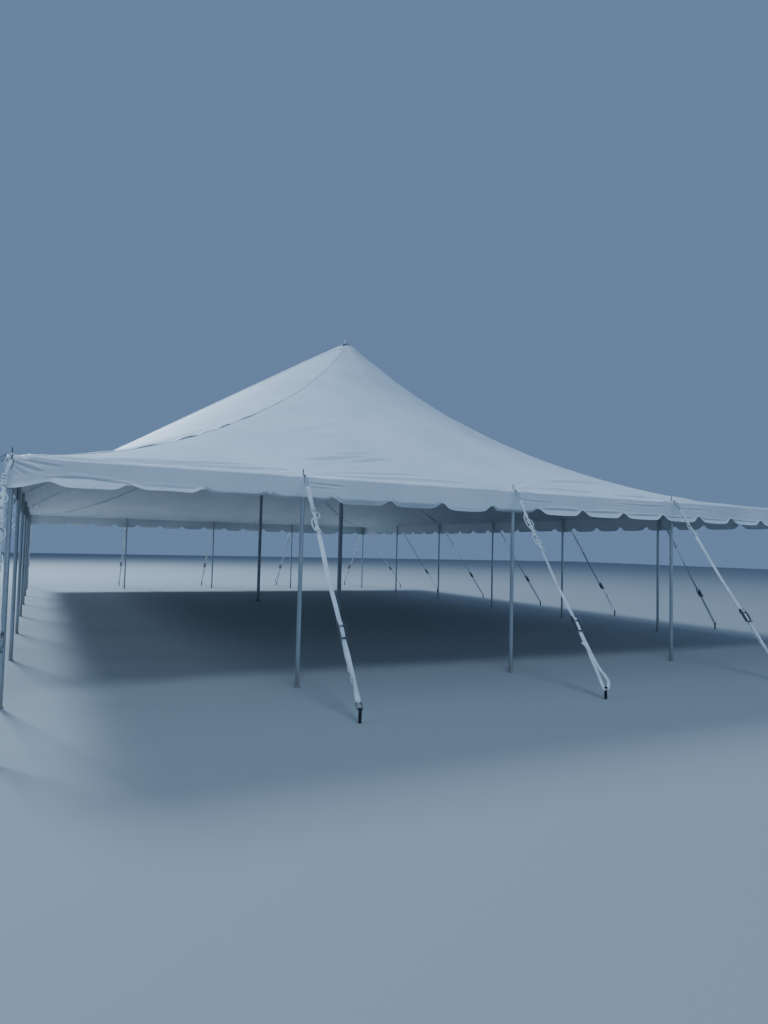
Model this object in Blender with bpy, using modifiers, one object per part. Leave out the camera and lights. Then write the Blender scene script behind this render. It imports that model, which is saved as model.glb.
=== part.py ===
"""A pole marquee, 40 by 60 ft: a white canopy in three laced sections over two centre poles and twenty side
poles, with a scalloped valance and ratchet guys to steel stakes.

Metres, +Z up. The origin is on the ground in the middle of the plan. +X runs across the tent, +Y along it.
"""

import math

import bmesh
import bpy
import numpy as np

# Plan
BAY = 3.048
BAYS_ACROSS = 4
BAYS_ALONG = 6
CENTRE_POLE_BAYS = 1
CLEARANCE = 0.0003

# Side poles
SIDE_POLE_HEIGHT = 2.45
SIDE_POLE_RADIUS = 0.0254
SIDE_PIN_RADIUS = 0.0065
SIDE_PIN_RISE = 0.09
SIDE_FOOT_RADIUS = 0.036
SIDE_FOOT_THICKNESS = 0.012

# Centre poles
PEAK_HEIGHT = 6.05
CENTRE_POLE_RADIUS = 0.045
CENTRE_FOOT_RADIUS = 0.10
CENTRE_FOOT_THICKNESS = 0.014
HEAD_PLATE_RADIUS = 0.095
HEAD_PLATE_THICKNESS = 0.012
SPIKE_RADIUS = 0.009
SPIKE_RISE = 0.30
SPIKE_COLLAR_RADIUS = 0.018
SPIKE_COLLAR_RISE = 0.06
SPIKE_TIP = 0.03

# Canopy
CANOPY_THICKNESS = 0.02
EAVE_OVERHANG = 0.05
EAVE_BAND = 0.10
PEAK_FLAT = 0.10
PEAK_POINT_RISE = 0.05
GROMMET_RADIUS = 0.008
PEAK_HOLE_RADIUS = 0.02
CLOTH_CELLS = 8
CLOTH_FLATNESS = 0.001
NET_CELLS = 8
NET_FALL_OFF = 0.3
ROW_WEB_PULL = 1000.0
RIDGE_WEB_PULL = 1.0
FRONT_LEFT_HIP_PULL = 7.0

# Valance
VALANCE_DROP = 0.29
VALANCE_THICKNESS = 0.01
SCALLOPS_PER_BAY = 4
NOTCH_WIDTH = 0.25
NOTCH_HEIGHT = 0.08
NOTCH_POINTS = 6

# Guys: stretches of one guy are measured along its slope, from the eave
STAKE_DISTANCE = 1.78
STAKE_RADIUS = 0.0125
STAKE_HEIGHT = 0.14
STAKE_HEAD_RADIUS = 0.021
STAKE_HEAD_THICKNESS = 0.018
COLLAR_RADIUS = 0.026
COLLAR_THICKNESS = 0.010
ARM_REACH = 0.025
ARM_WIDTH = 0.03
HOOK_LENGTH = 0.21
HOOK_THICKNESS = 0.016
HOOK_WIDTH = 0.034
WRAP_LENGTH = 0.28
WRAP_THICKNESS = 0.026
WRAP_WIDTH = 0.05
KNOT_LENGTH = 0.34
KNOT_THICKNESS = 0.055
KNOT_WIDTH = 0.075
RATCHET_START = 1.91
RATCHET_LENGTH = 0.22
RATCHET_THICKNESS = 0.05
RATCHET_WIDTH = 0.08
STRAP_THICKNESS = 0.006
STRAP_WIDTH = 0.048
TAIL_THICKNESS = 0.014
TAIL_WIDTH = 0.056
JOINT_OVERLAP = 0.01
ROUND_SIDES = 12

# Places that follow from the sizes above
HALF_WIDTH = BAY * BAYS_ACROSS / 2
HALF_LENGTH = BAY * BAYS_ALONG / 2
CENTRE_POLE_Y = BAY * CENTRE_POLE_BAYS
CANOPY_SEAT = SIDE_POLE_HEIGHT + CLEARANCE
EAVE_TOP = CANOPY_SEAT + CANOPY_THICKNESS
PEAK_TOP = PEAK_HEIGHT + CLEARANCE + CANOPY_THICKNESS
EDGE_X = HALF_WIDTH + EAVE_OVERHANG
EDGE_Y = HALF_LENGTH + EAVE_OVERHANG
VALANCE_TOP = CANOPY_SEAT - CLEARANCE


def clear_scene():
    for old in list(bpy.data.objects):
        bpy.data.objects.remove(old)


def collection(name):
    made = bpy.data.collections.new(name)
    bpy.context.scene.collection.children.link(made)
    return made


def finish(name, colour, roughness, metallic=0.0):
    """A plain Principled material."""
    made = bpy.data.materials.new(name)
    made.use_nodes = True
    shader = made.node_tree.nodes["Principled BSDF"]
    shader.inputs["Base Color"].default_value = (*colour, 1.0)
    shader.inputs["Roughness"].default_value = roughness
    shader.inputs["Metallic"].default_value = metallic
    return made


def add(name, data, material, where=(0, 0, 0), turn=0.0):
    """Puts a named piece in the tent, turned about the vertical."""
    piece = bpy.data.objects.new(name, data)
    piece.location = where
    piece.rotation_euler.z = turn
    if not data.materials:
        data.materials.append(material)
    TENT.objects.link(piece)
    return piece


def guide(name, mesh):
    """A helper solid that isn't a piece of the tent."""
    made = bpy.data.objects.new(name, mesh)
    made.hide_render = True
    made.display_type = "WIRE"
    CUTTERS.objects.link(made)
    return made


def to_mesh(name, bm):
    made = bpy.data.meshes.new(name)
    bmesh.ops.recalc_face_normals(bm, faces=bm.faces)
    bm.to_mesh(made)
    bm.free()
    return made


def boolean(piece, other, operation):
    step = piece.modifiers.new(other.name, "BOOLEAN")
    step.operation = operation
    step.solver = "EXACT"
    step.object = other


def bake(name, piece):
    """The piece's mesh with its modifiers applied."""
    graph = bpy.context.evaluated_depsgraph_get()
    made = bpy.data.meshes.new_from_object(piece.evaluated_get(graph))
    made.name = name
    return made


def side_pole_places():
    """(name, x, y, outward turn of each guy) of every side pole, by side."""
    places = []
    for bay in range(BAYS_ACROSS + 1):
        x = bay * BAY - HALF_WIDTH
        ends = {0: (math.pi,), BAYS_ACROSS: (0.0,)}.get(bay, ())
        places.append((f"front_{bay + 1}", x, -HALF_LENGTH, (-math.pi / 2, *ends)))
        places.append((f"back_{bay + 1}", x, HALF_LENGTH, (math.pi / 2, *ends)))
    for bay in range(1, BAYS_ALONG):
        y = bay * BAY - HALF_LENGTH
        places.append((f"left_{bay}", -HALF_WIDTH, y, (math.pi,)))
        places.append((f"right_{bay}", HALF_WIDTH, y, (0.0,)))
    return places


# Turned poles

def turned(name, profile):
    """A shape turned about Z from (radius, height) points, which run down its outer side."""
    mesh = bpy.data.meshes.new(name)
    edges = [(i, i + 1) for i in range(len(profile) - 1)]
    mesh.from_pydata([(radius, 0, height) for radius, height in profile], edges, [])
    return mesh


def spin(piece):
    screw = piece.modifiers.new("Turn", "SCREW")
    screw.steps = screw.render_steps = ROUND_SIDES
    screw.use_merge_vertices = True
    screw.merge_threshold = 0.00001


def make_side_poles(material):
    """Tube on a foot disc, with the pin that holds the canopy's grommet and the guy."""
    pin_top = EAVE_TOP + SIDE_PIN_RISE
    mesh = turned("side_pole", [
        (0, pin_top),
        (SIDE_PIN_RADIUS, pin_top),
        (SIDE_PIN_RADIUS, SIDE_POLE_HEIGHT),
        (SIDE_POLE_RADIUS, SIDE_POLE_HEIGHT),
        (SIDE_POLE_RADIUS, SIDE_FOOT_THICKNESS),
        (SIDE_FOOT_RADIUS, SIDE_FOOT_THICKNESS),
        (SIDE_FOOT_RADIUS, 0),
        (0, 0),
    ])
    for name, x, y, _ in side_pole_places():
        spin(add(f"side_pole_{name}", mesh, material, (x, y, 0)))


def make_centre_poles(material):
    """Thicker tube with a head plate under the peak and a spike through it."""
    collar_top = PEAK_TOP + SPIKE_COLLAR_RISE
    spike_top = PEAK_TOP + SPIKE_RISE
    mesh = turned("centre_pole", [
        (0, spike_top),
        (SPIKE_RADIUS, spike_top - SPIKE_TIP),
        (SPIKE_RADIUS, collar_top),
        (SPIKE_COLLAR_RADIUS, collar_top),
        (SPIKE_COLLAR_RADIUS, PEAK_HEIGHT),
        (HEAD_PLATE_RADIUS, PEAK_HEIGHT),
        (HEAD_PLATE_RADIUS, PEAK_HEIGHT - HEAD_PLATE_THICKNESS),
        (CENTRE_POLE_RADIUS, PEAK_HEIGHT - HEAD_PLATE_THICKNESS),
        (CENTRE_POLE_RADIUS, CENTRE_FOOT_THICKNESS),
        (CENTRE_FOOT_RADIUS, CENTRE_FOOT_THICKNESS),
        (CENTRE_FOOT_RADIUS, 0),
        (0, 0),
    ])
    for name, side in (("front", -1), ("back", 1)):
        spin(add(f"centre_pole_{name}", mesh, material, (0, side * CENTRE_POLE_Y, 0)))


# Canopy

def net():
    """Heights of a tight net held at the eave and at the peaks, as (x lines, y lines, heights).

    Every free knot lies at the mean of its four neighbours, weighted by how hard each cord pulls. The pull
    falls off away from the peaks, and the laced rows across the centre poles are webbing, so they stay straight.
    The hip from the front left corner is guyed tighter than the other three, and stands up as a ridge.
    """
    xs = np.linspace(-HALF_WIDTH, HALF_WIDTH, BAYS_ACROSS * NET_CELLS + 1)
    ys = np.linspace(-HALF_LENGTH, HALF_LENGTH, BAYS_ALONG * NET_CELLS + 1)
    x, y = np.meshgrid(xs, ys, indexing="ij")
    knots = np.arange(x.size).reshape(x.shape)
    pulls = np.zeros((x.size, x.size))

    def tie(first, second, web):
        middle_x = (x.flat[first] + x.flat[second]) / 2
        middle_y = (y.flat[first] + y.flat[second]) / 2
        reach = np.hypot(middle_x, abs(middle_y) - CENTRE_POLE_Y)
        pull = (HALF_WIDTH / reach) ** NET_FALL_OFF + web
        pulls[first, second] = pulls[second, first] = pull

    on_row = np.isclose(abs(y), CENTRE_POLE_Y)
    on_ridge = np.isclose(x, 0) & (abs(y) < CENTRE_POLE_Y)
    tie(knots[:-1].ravel(), knots[1:].ravel(), ROW_WEB_PULL * on_row[1:].ravel())
    ridge = on_ridge[:, :-1] | on_ridge[:, 1:]
    tie(knots[:, :-1].ravel(), knots[:, 1:].ravel(), RIDGE_WEB_PULL * ridge.ravel())
    front_left_hip = knots.diagonal()[:BAYS_ACROSS * NET_CELLS // 2 + 1]
    tie(front_left_hip[:-1], front_left_hip[1:], FRONT_LEFT_HIP_PULL)

    at_peak = on_row & np.isclose(x, 0)
    at_eave = np.isclose(abs(x), HALF_WIDTH) | np.isclose(abs(y), HALF_LENGTH)
    height = np.where(at_peak, PEAK_TOP + PEAK_POINT_RISE, EAVE_TOP).ravel()
    held = (at_peak | at_eave).ravel()
    free = ~held
    balance = np.diag(pulls.sum(axis=1)) - pulls
    height[free] = np.linalg.solve(balance[np.ix_(free, free)], pulls[np.ix_(free, held)] @ height[held])
    return xs, ys, height.reshape(x.shape)


def cloth_lines(half_span, bays, edge, centres):
    """Grid lines along one side of the cloth: even cells, the flat band at the eave, and a flat at each peak."""
    lines = list(np.linspace(-half_span, half_span, bays * CLOTH_CELLS + 1))
    lines[0] = EAVE_BAND - edge
    lines[-1] = edge - EAVE_BAND
    lines += [-edge, edge]
    for centre in centres:
        lines += [centre - PEAK_FLAT, centre + PEAK_FLAT]
    return np.array(sorted(lines))


def cloth_height(x, y, xs, ys, heights):
    """Height of the cloth's top at a point, from the net."""
    if abs(x) <= PEAK_FLAT + CLEARANCE and abs(abs(y) - CENTRE_POLE_Y) <= PEAK_FLAT + CLEARANCE:
        return PEAK_TOP
    if abs(x) >= EDGE_X - EAVE_BAND or abs(y) >= EDGE_Y - EAVE_BAND:
        return EAVE_TOP
    across = [np.interp(y, ys, row) for row in heights]
    return np.interp(x, xs, across)


def make_canopy(material):
    """Three sections that meet under lacing on the rows across the centre poles."""
    shape = net()
    x_lines = cloth_lines(HALF_WIDTH, BAYS_ACROSS, EDGE_X, (0,))
    y_lines = cloth_lines(HALF_LENGTH, BAYS_ALONG, EDGE_Y, (-CENTRE_POLE_Y, CENTRE_POLE_Y))
    seam = CLEARANCE / 2
    holes = pin_holes()
    for name, low, high in (
        ("front", -EDGE_Y, -CENTRE_POLE_Y - seam),
        ("middle", -CENTRE_POLE_Y + seam, CENTRE_POLE_Y - seam),
        ("back", CENTRE_POLE_Y + seam, EDGE_Y),
    ):
        inside = y_lines[(y_lines > low + CLEARANCE) & (y_lines < high - CLEARANCE)]
        lines = np.array([low, *inside, high])
        section = add(f"canopy_{name}", cloth_section(f"canopy_{name}", x_lines, lines, shape), material)
        boolean(section, holes, "DIFFERENCE")


def fold(bm):
    """Folds each cell that isn't flat along its higher diagonal, as tight cloth does."""
    for method, side in (("FIXED", 1), ("ALTERNATE", -1)):
        cells = []
        for face in bm.faces:
            corners = [vert.co.z for vert in face.verts]
            if len(corners) == 4 and side * (corners[0] - corners[1] + corners[2] - corners[3]) > CLOTH_FLATNESS:
                cells.append(face)
        bmesh.ops.triangulate(bm, faces=cells, quad_method=method)


def cloth_section(name, x_lines, y_lines, shape):
    """A grid laid over the net and given its thickness downwards."""
    bm = bmesh.new()
    bmesh.ops.create_grid(bm, x_segments=len(x_lines) - 1, y_segments=len(y_lines) - 1, size=1)
    for vert in bm.verts:
        column = round((vert.co.x + 1) / 2 * (len(x_lines) - 1))
        row = round((vert.co.y + 1) / 2 * (len(y_lines) - 1))
        x, y = x_lines[column], y_lines[row]
        vert.co = (x, y, cloth_height(x, y, *shape))
    fold(bm)
    lower = bmesh.ops.extrude_face_region(bm, geom=list(bm.faces), use_keep_orig=True)
    moved = [part for part in lower["geom"] if isinstance(part, bmesh.types.BMVert)]
    bmesh.ops.translate(bm, verts=moved, vec=(0, 0, -CANOPY_THICKNESS))
    return to_mesh(name, bm)


def pin_holes():
    """One cutter for the grommets over the side poles' pins and the holes at the peaks."""
    bm = bmesh.new()
    spots = [(x, y, EAVE_TOP, GROMMET_RADIUS) for _, x, y, _ in side_pole_places()]
    spots += [(0, side * CENTRE_POLE_Y, PEAK_TOP, PEAK_HOLE_RADIUS) for side in (-1, 1)]
    for x, y, z, radius in spots:
        made = bmesh.ops.create_cone(
            bm, cap_ends=True, segments=ROUND_SIDES, radius1=radius, radius2=radius, depth=6 * CANOPY_THICKNESS
        )
        bmesh.ops.translate(bm, verts=made["verts"], vec=(x, y, z))
    return guide("pin_holes", to_mesh("pin_holes", bm))


# Valance

def scallop_edge(length):
    """Points along a valance's lower edge from one end to the other, with a notch between two scallops."""
    pitch = BAY / SCALLOPS_PER_BAY
    bays = round((length - 2 * EAVE_OVERHANG) / BAY)
    first = -bays * BAY / 2 + pitch / 2
    points = [(-length / 2, 0.0)]
    for notch in range(bays * SCALLOPS_PER_BAY):
        centre = first + notch * pitch
        for step in range(NOTCH_POINTS + 1):
            share = step / NOTCH_POINTS
            rise = NOTCH_HEIGHT * (1 - math.cos(2 * math.pi * share)) / 2
            points.append((centre + (share - 0.5) * NOTCH_WIDTH, rise))
    return [*points, (length / 2, 0.0)]


def valance_curve(name, length, trim):
    """A curtain drawn flat as a filled outline. It hangs from the eave with its scallops down."""
    bottom = VALANCE_TOP - VALANCE_DROP
    low = [(along, bottom + rise) for along, rise in scallop_edge(length)]
    outline = [(trim - length / 2, bottom), *low[1:-1], (length / 2 - trim, bottom)]
    outline += [(length / 2 - trim, VALANCE_TOP), (trim - length / 2, VALANCE_TOP)]
    curve = bpy.data.curves.new(name, "CURVE")
    curve.dimensions = "2D"
    curve.fill_mode = "BOTH"
    curve.extrude = VALANCE_THICKNESS / 2
    spline = curve.splines.new("POLY")
    spline.points.add(len(outline) - 1)
    for point, (along, up) in zip(spline.points, outline):
        point.co = (along, up, 0, 1)
    spline.use_cyclic_u = True
    return curve


def make_valance(material):
    """Four curtains under the canopy's edge. The two on the long sides fit between the two at the ends."""
    inset = VALANCE_THICKNESS / 2
    side_trim = VALANCE_THICKNESS + CLEARANCE
    for name, x, y, length, trim, turn in (
        ("front", 0, inset - EDGE_Y, 2 * EDGE_X, 0, 0),
        ("back", 0, EDGE_Y - inset, 2 * EDGE_X, 0, 0),
        ("left", inset - EDGE_X, 0, 2 * EDGE_Y, side_trim, math.pi / 2),
        ("right", EDGE_X - inset, 0, 2 * EDGE_Y, side_trim, math.pi / 2),
    ):
        curtain = add(f"valance_{name}", valance_curve(f"valance_{name}", length, trim), material, (x, y, 0))
        curtain.rotation_euler = (math.pi / 2, 0, turn)


# Guys

def bar(start, end, thickness, width):
    """A box between two points of the guy's own plane, with its width across that plane."""
    bm = bmesh.new()
    bmesh.ops.create_cube(bm, size=1)
    length = math.dist(start, end)
    bmesh.ops.scale(bm, verts=bm.verts, vec=(length, width, thickness))
    slope = math.atan2(end[1] - start[1], end[0] - start[0])
    middle = ((start[0] + end[0]) / 2, 0, (start[1] + end[1]) / 2)
    mesh = to_mesh("bar", bm)
    piece = guide("bar", mesh)
    piece.rotation_euler.y = -slope
    piece.location = middle
    return piece


def disc(x, low, high, radius):
    bm = bmesh.new()
    bmesh.ops.create_cone(
        bm, cap_ends=True, segments=ROUND_SIDES, radius1=radius, radius2=radius, depth=high - low
    )
    piece = guide("disc", to_mesh("disc", bm))
    piece.location = (x, 0, (low + high) / 2)
    return piece


def guy_leg():
    """One guy, outwards along +X from its pole: collar, hook, wrapped strap, knots, ratchet, tail and stake."""
    arm_low = EAVE_TOP + CLEARANCE
    arm_high = arm_low + COLLAR_THICKNESS
    arm_end = EAVE_OVERHANG + ARM_REACH
    top = np.array([arm_end, (arm_low + arm_high) / 2])
    foot = np.array([STAKE_DISTANCE, STAKE_HEIGHT - STAKE_HEAD_THICKNESS])
    length = math.dist(top, foot)

    def along(distance):
        return tuple(top + (foot - top) * distance / length)

    wrap = HOOK_LENGTH
    knot = wrap + WRAP_LENGTH
    strap = knot + KNOT_LENGTH
    tail = RATCHET_START + RATCHET_LENGTH
    parts = [
        bar((0, top[1]), (arm_end + HOOK_THICKNESS / 2, top[1]), COLLAR_THICKNESS, ARM_WIDTH),
        bar(along(0), along(wrap + JOINT_OVERLAP), HOOK_THICKNESS, HOOK_WIDTH),
        bar(along(wrap), along(knot + JOINT_OVERLAP), WRAP_THICKNESS, WRAP_WIDTH),
        bar(along(knot), along(strap), KNOT_THICKNESS, KNOT_WIDTH),
        bar(along(strap - JOINT_OVERLAP), along(RATCHET_START + JOINT_OVERLAP), STRAP_THICKNESS, STRAP_WIDTH),
        bar(along(RATCHET_START), along(tail), RATCHET_THICKNESS, RATCHET_WIDTH),
        bar(along(tail - JOINT_OVERLAP), tuple(foot), TAIL_THICKNESS, TAIL_WIDTH),
        disc(STAKE_DISTANCE, 0, STAKE_HEIGHT - STAKE_HEAD_THICKNESS / 2, STAKE_RADIUS),
        disc(STAKE_DISTANCE, STAKE_HEIGHT - STAKE_HEAD_THICKNESS, STAKE_HEIGHT, STAKE_HEAD_RADIUS),
    ]
    whole = disc(0, arm_low, arm_high, COLLAR_RADIUS)
    for part in parts:
        boolean(whole, part, "UNION")
    bore = disc(0, arm_low - COLLAR_THICKNESS, arm_high + COLLAR_THICKNESS, GROMMET_RADIUS)
    boolean(whole, bore, "DIFFERENCE")
    mesh = bake("guy", whole)
    mesh.transform(whole.matrix_world)
    for helper in (whole, bore, *parts):
        bpy.data.objects.remove(helper)
    return mesh


def corner_guys(leg):
    """Two legs at right angles that share their collar, along +X and +Y."""
    first = guide("first_leg", leg)
    second = guide("second_leg", leg)
    second.rotation_euler.z = math.pi / 2
    boolean(first, second, "UNION")
    mesh = bake("corner_guys", first)
    bpy.data.objects.remove(first)
    bpy.data.objects.remove(second)
    return mesh


def make_guys(material):
    single = guy_leg()
    pair = corner_guys(single)
    for name, x, y, turns in side_pole_places():
        mesh = pair if len(turns) == 2 else single
        turn = turns[0]
        if len(turns) == 2:
            # The pair's own legs lie at 0 and 90 degrees, so it turns to whichever of the two comes first.
            ahead = (turns[1] - turns[0]) % (2 * math.pi)
            turn = turns[0] if math.isclose(ahead, math.pi / 2) else turns[1]
        add(f"guy_{name}", mesh, material, (x, y, 0), turn)


clear_scene()
TENT = collection("marquee_tent")
CUTTERS = collection("cutters")
make_side_poles(finish("side_pole_metal", (0.42, 0.44, 0.46), 0.45, 0.9))
make_centre_poles(finish("centre_pole_metal", (0.30, 0.31, 0.33), 0.5, 0.9))
make_canopy(finish("canopy_vinyl", (0.86, 0.88, 0.90), 0.45))
make_valance(finish("valance_vinyl", (0.86, 0.88, 0.90), 0.45))
make_guys(finish("guy_webbing", (0.80, 0.81, 0.82), 0.8))
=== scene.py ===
import math
import random

import bmesh
import bpy
import numpy as np
from mathutils import Matrix, Vector


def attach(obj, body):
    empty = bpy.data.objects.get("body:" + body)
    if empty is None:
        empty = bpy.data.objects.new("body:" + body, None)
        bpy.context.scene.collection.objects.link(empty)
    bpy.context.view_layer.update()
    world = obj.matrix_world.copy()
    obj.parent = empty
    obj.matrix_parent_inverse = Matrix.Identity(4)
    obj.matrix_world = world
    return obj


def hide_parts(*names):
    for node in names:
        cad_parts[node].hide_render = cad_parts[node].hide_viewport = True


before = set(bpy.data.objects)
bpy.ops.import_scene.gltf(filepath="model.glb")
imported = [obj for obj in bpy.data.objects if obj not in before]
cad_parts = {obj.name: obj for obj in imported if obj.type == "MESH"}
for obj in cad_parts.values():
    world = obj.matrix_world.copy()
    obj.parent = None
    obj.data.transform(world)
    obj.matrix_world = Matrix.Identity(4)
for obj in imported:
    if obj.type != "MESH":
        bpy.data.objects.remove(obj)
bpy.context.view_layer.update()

# Camera
# It stands at eye height outside the near left corner and looks along the long side.
# Its place, turn and lens were worked out from the feet and tops of the poles in the photograph.
CAMERA_PLACE = (-5.829, -16.982, 1.649)
CAMERA_YAW = math.radians(26.21)
CAMERA_PITCH = math.radians(2.92)
CAMERA_ROLL = math.radians(1.34)
CAMERA_SENSOR = 36.0
CAMERA_FOCUS_PIXELS = 700.2
PICTURE_HEIGHT = 1024

lens = bpy.data.cameras.new("camera")
lens.sensor_width = CAMERA_SENSOR
lens.lens = CAMERA_SENSOR * CAMERA_FOCUS_PIXELS / PICTURE_HEIGHT
camera = bpy.data.objects.new("camera", lens)
level = Matrix.Rotation(-CAMERA_YAW, 4, "Z") @ Matrix.Rotation(math.pi / 2 + CAMERA_PITCH, 4, "X")
camera.matrix_world = Matrix.Translation(CAMERA_PLACE) @ level @ Matrix.Rotation(CAMERA_ROLL, 4, "Z")
bpy.context.scene.collection.objects.link(camera)
bpy.context.scene.camera = camera

# Floor and light
# A plain pale studio floor, not part of the tent. The light is soft and cool: the key stands high behind
# on the left and rakes over the cloth. Weaker lamps stand high in front, on the left and low in front.
FLOOR_SIZE = 160.0
FLOOR_BELOW = 0.001
FLOOR_COLOUR = (0.34, 0.345, 0.35)
FLOOR_ROUGHNESS = 0.9
STUDIO_COLOUR = (0.34, 0.56, 0.98)
STUDIO_STRENGTH = 0.40
LAMP_AIM = Vector((0, 0, 2))
# Each lamp's name, place, size in metres, power in watts and colour.
LAMPS = (
    ("key", (-16, 30, 30), 8, 24000, (0.60, 0.80, 1.0)),
    ("top", (-5, -20, 26), 7, 2600, (0.56, 0.78, 1.0)),
    ("left", (-34, -2, 22), 9, 2400, (0.62, 0.82, 1.0)),
    ("front", (12, -38, 14), 12, 1100, (0.54, 0.76, 1.0)),
)


def feed(node, sockets):
    """Gives each named socket of a node its value, or wires it to another node's output."""
    for name, value in sockets.items():
        if isinstance(value, bpy.types.NodeSocket):
            node.id_data.links.new(value, node.inputs[name])
        else:
            node.inputs[name].default_value = value


def new_material(name):
    material = bpy.data.materials.new(name)
    material.use_nodes = True
    return material


def shade(material, sockets):
    """Sets or wires the sockets of a material's shader."""
    feed(material.node_tree.nodes["Principled BSDF"], sockets)
    return material


def mesh_from(bm, name):
    """Turns a bmesh into a mesh, and frees it."""
    mesh = bpy.data.meshes.new(name)
    bm.to_mesh(mesh)
    bm.free()
    return mesh


bm = bmesh.new()
bmesh.ops.create_grid(bm, x_segments=1, y_segments=1, size=FLOOR_SIZE / 2)
bmesh.ops.translate(bm, verts=bm.verts, vec=(0, 0, -FLOOR_BELOW))
mesh = mesh_from(bm, "floor")
floor_finish = {"Base Color": (*FLOOR_COLOUR, 1), "Roughness": FLOOR_ROUGHNESS}
mesh.materials.append(shade(new_material("floor"), floor_finish))
floor = bpy.data.objects.new("floor", mesh)
bpy.context.scene.collection.objects.link(floor)

studio = bpy.data.worlds.new("studio")
studio.use_nodes = True
feed(studio.node_tree.nodes["Background"], {"Color": (*STUDIO_COLOUR, 1), "Strength": STUDIO_STRENGTH})
bpy.context.scene.world = studio
for name, place, size, power, colour in LAMPS:
    lamp = bpy.data.lights.new(name, "AREA")
    lamp.size = size
    lamp.energy = power
    lamp.color = colour
    light = bpy.data.objects.new(name, lamp)
    light.location = place
    light.rotation_euler = (LAMP_AIM - Vector(place)).to_track_quat("-Z", "Y").to_euler()
    light.visible_camera = False
    bpy.context.scene.collection.objects.link(light)


# Canopy
# White vinyl-coated polyester in three sections, laced together over the two centre poles. Grommets in its
# edge drop over the side poles' pins. The guys pull it as tight as a net: straight along the webbing of each
# laced row, soft on the hips, and with one taut hip at the near left corner, which stands as a ridge.
BAY = 3.048
BAYS_ACROSS = 4
BAYS_ALONG = 6
HALF_WIDTH = BAY * BAYS_ACROSS / 2
HALF_LENGTH = BAY * BAYS_ALONG / 2
CENTRE_POLE_Y = BAY
EDGE_X = HALF_WIDTH + 0.05
EDGE_Y = HALF_LENGTH + 0.05
EAVE_TOP = 2.4703
PEAK_TOP = 6.0703
NET_PEAK = PEAK_TOP + 0.05
NET_CELLS = 8
NET_ROUNDS = 2500
NET_START = 3.5
FINE_CELLS = 40
FINE_ROUNDS = 80
NET_FALL_OFF = 0.3
RIDGE_WEB_PULL = 1.0
TAUT_HIP_PULL = 7.0
HIP_ROUNDING = 0.42
HIP_ROUND_FROM = 4.4
HIP_ROUND_OVER = 2.2
HIP_KINK = 0.12
VINYL_THICKNESS = 0.004
EAVE_ROLL = 0.018
EAVE_LIP = 0.010
CORNER_ROUNDING = 0.035
PEAK_ROUNDING = 0.02
PEAK_ROUNDED = 0.3
OPEN_CELL = 0.0762
EAVE_CELL = 0.0381
CREASE_CELL = 0.017
EAVE_REACH = 1.30
CREASE_REACH = 0.55
CREASE_MARGIN = 0.3
CREASE_WANDER = 0.010
GATHER_HEIGHT = 0.007
GATHER_PITCH = 0.62
GATHER_WIDTH = 0.09
GATHER_FADES = (0.8, 1.6, 4.6, 7.6)
PIN_FAN_HEIGHT = 0.007
CORNER_FAN_HEIGHT = 0.016
PIN_FAN_REACH = 0.22
PIN_FAN_LIMIT = 1.4
SEAM_GAP = 0.001
END_FLAT = (12.36, 7.30)
END_FLAT_AREA = 84.5
MIDDLE_FLAT = (13.90, 6.10)
VINYL_WHITE = (0.80, 0.825, 0.85)
VINYL_WORN = (0.68, 0.715, 0.745)


def plan_lines(cells):
    across = np.linspace(-HALF_WIDTH, HALF_WIDTH, BAYS_ACROSS * cells + 1)
    along = np.linspace(-HALF_LENGTH, HALF_LENGTH, BAYS_ALONG * cells + 1)
    return across, along


def between(lines, heights, x, y):
    """Heights read off a grid by linear steps between its lines."""
    across, along = lines
    column = np.clip(np.searchsorted(across, x) - 1, 0, len(across) - 2)
    row = np.clip(np.searchsorted(along, y) - 1, 0, len(along) - 2)
    s = np.clip((x - across[column]) / (across[column + 1] - across[column]), 0, 1)
    t = np.clip((y - along[row]) / (along[row + 1] - along[row]), 0, 1)
    near = heights[column, row] * (1 - s) + heights[column + 1, row] * s
    far = heights[column, row + 1] * (1 - s) + heights[column + 1, row + 1] * s
    return near * (1 - t) + far * t


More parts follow.
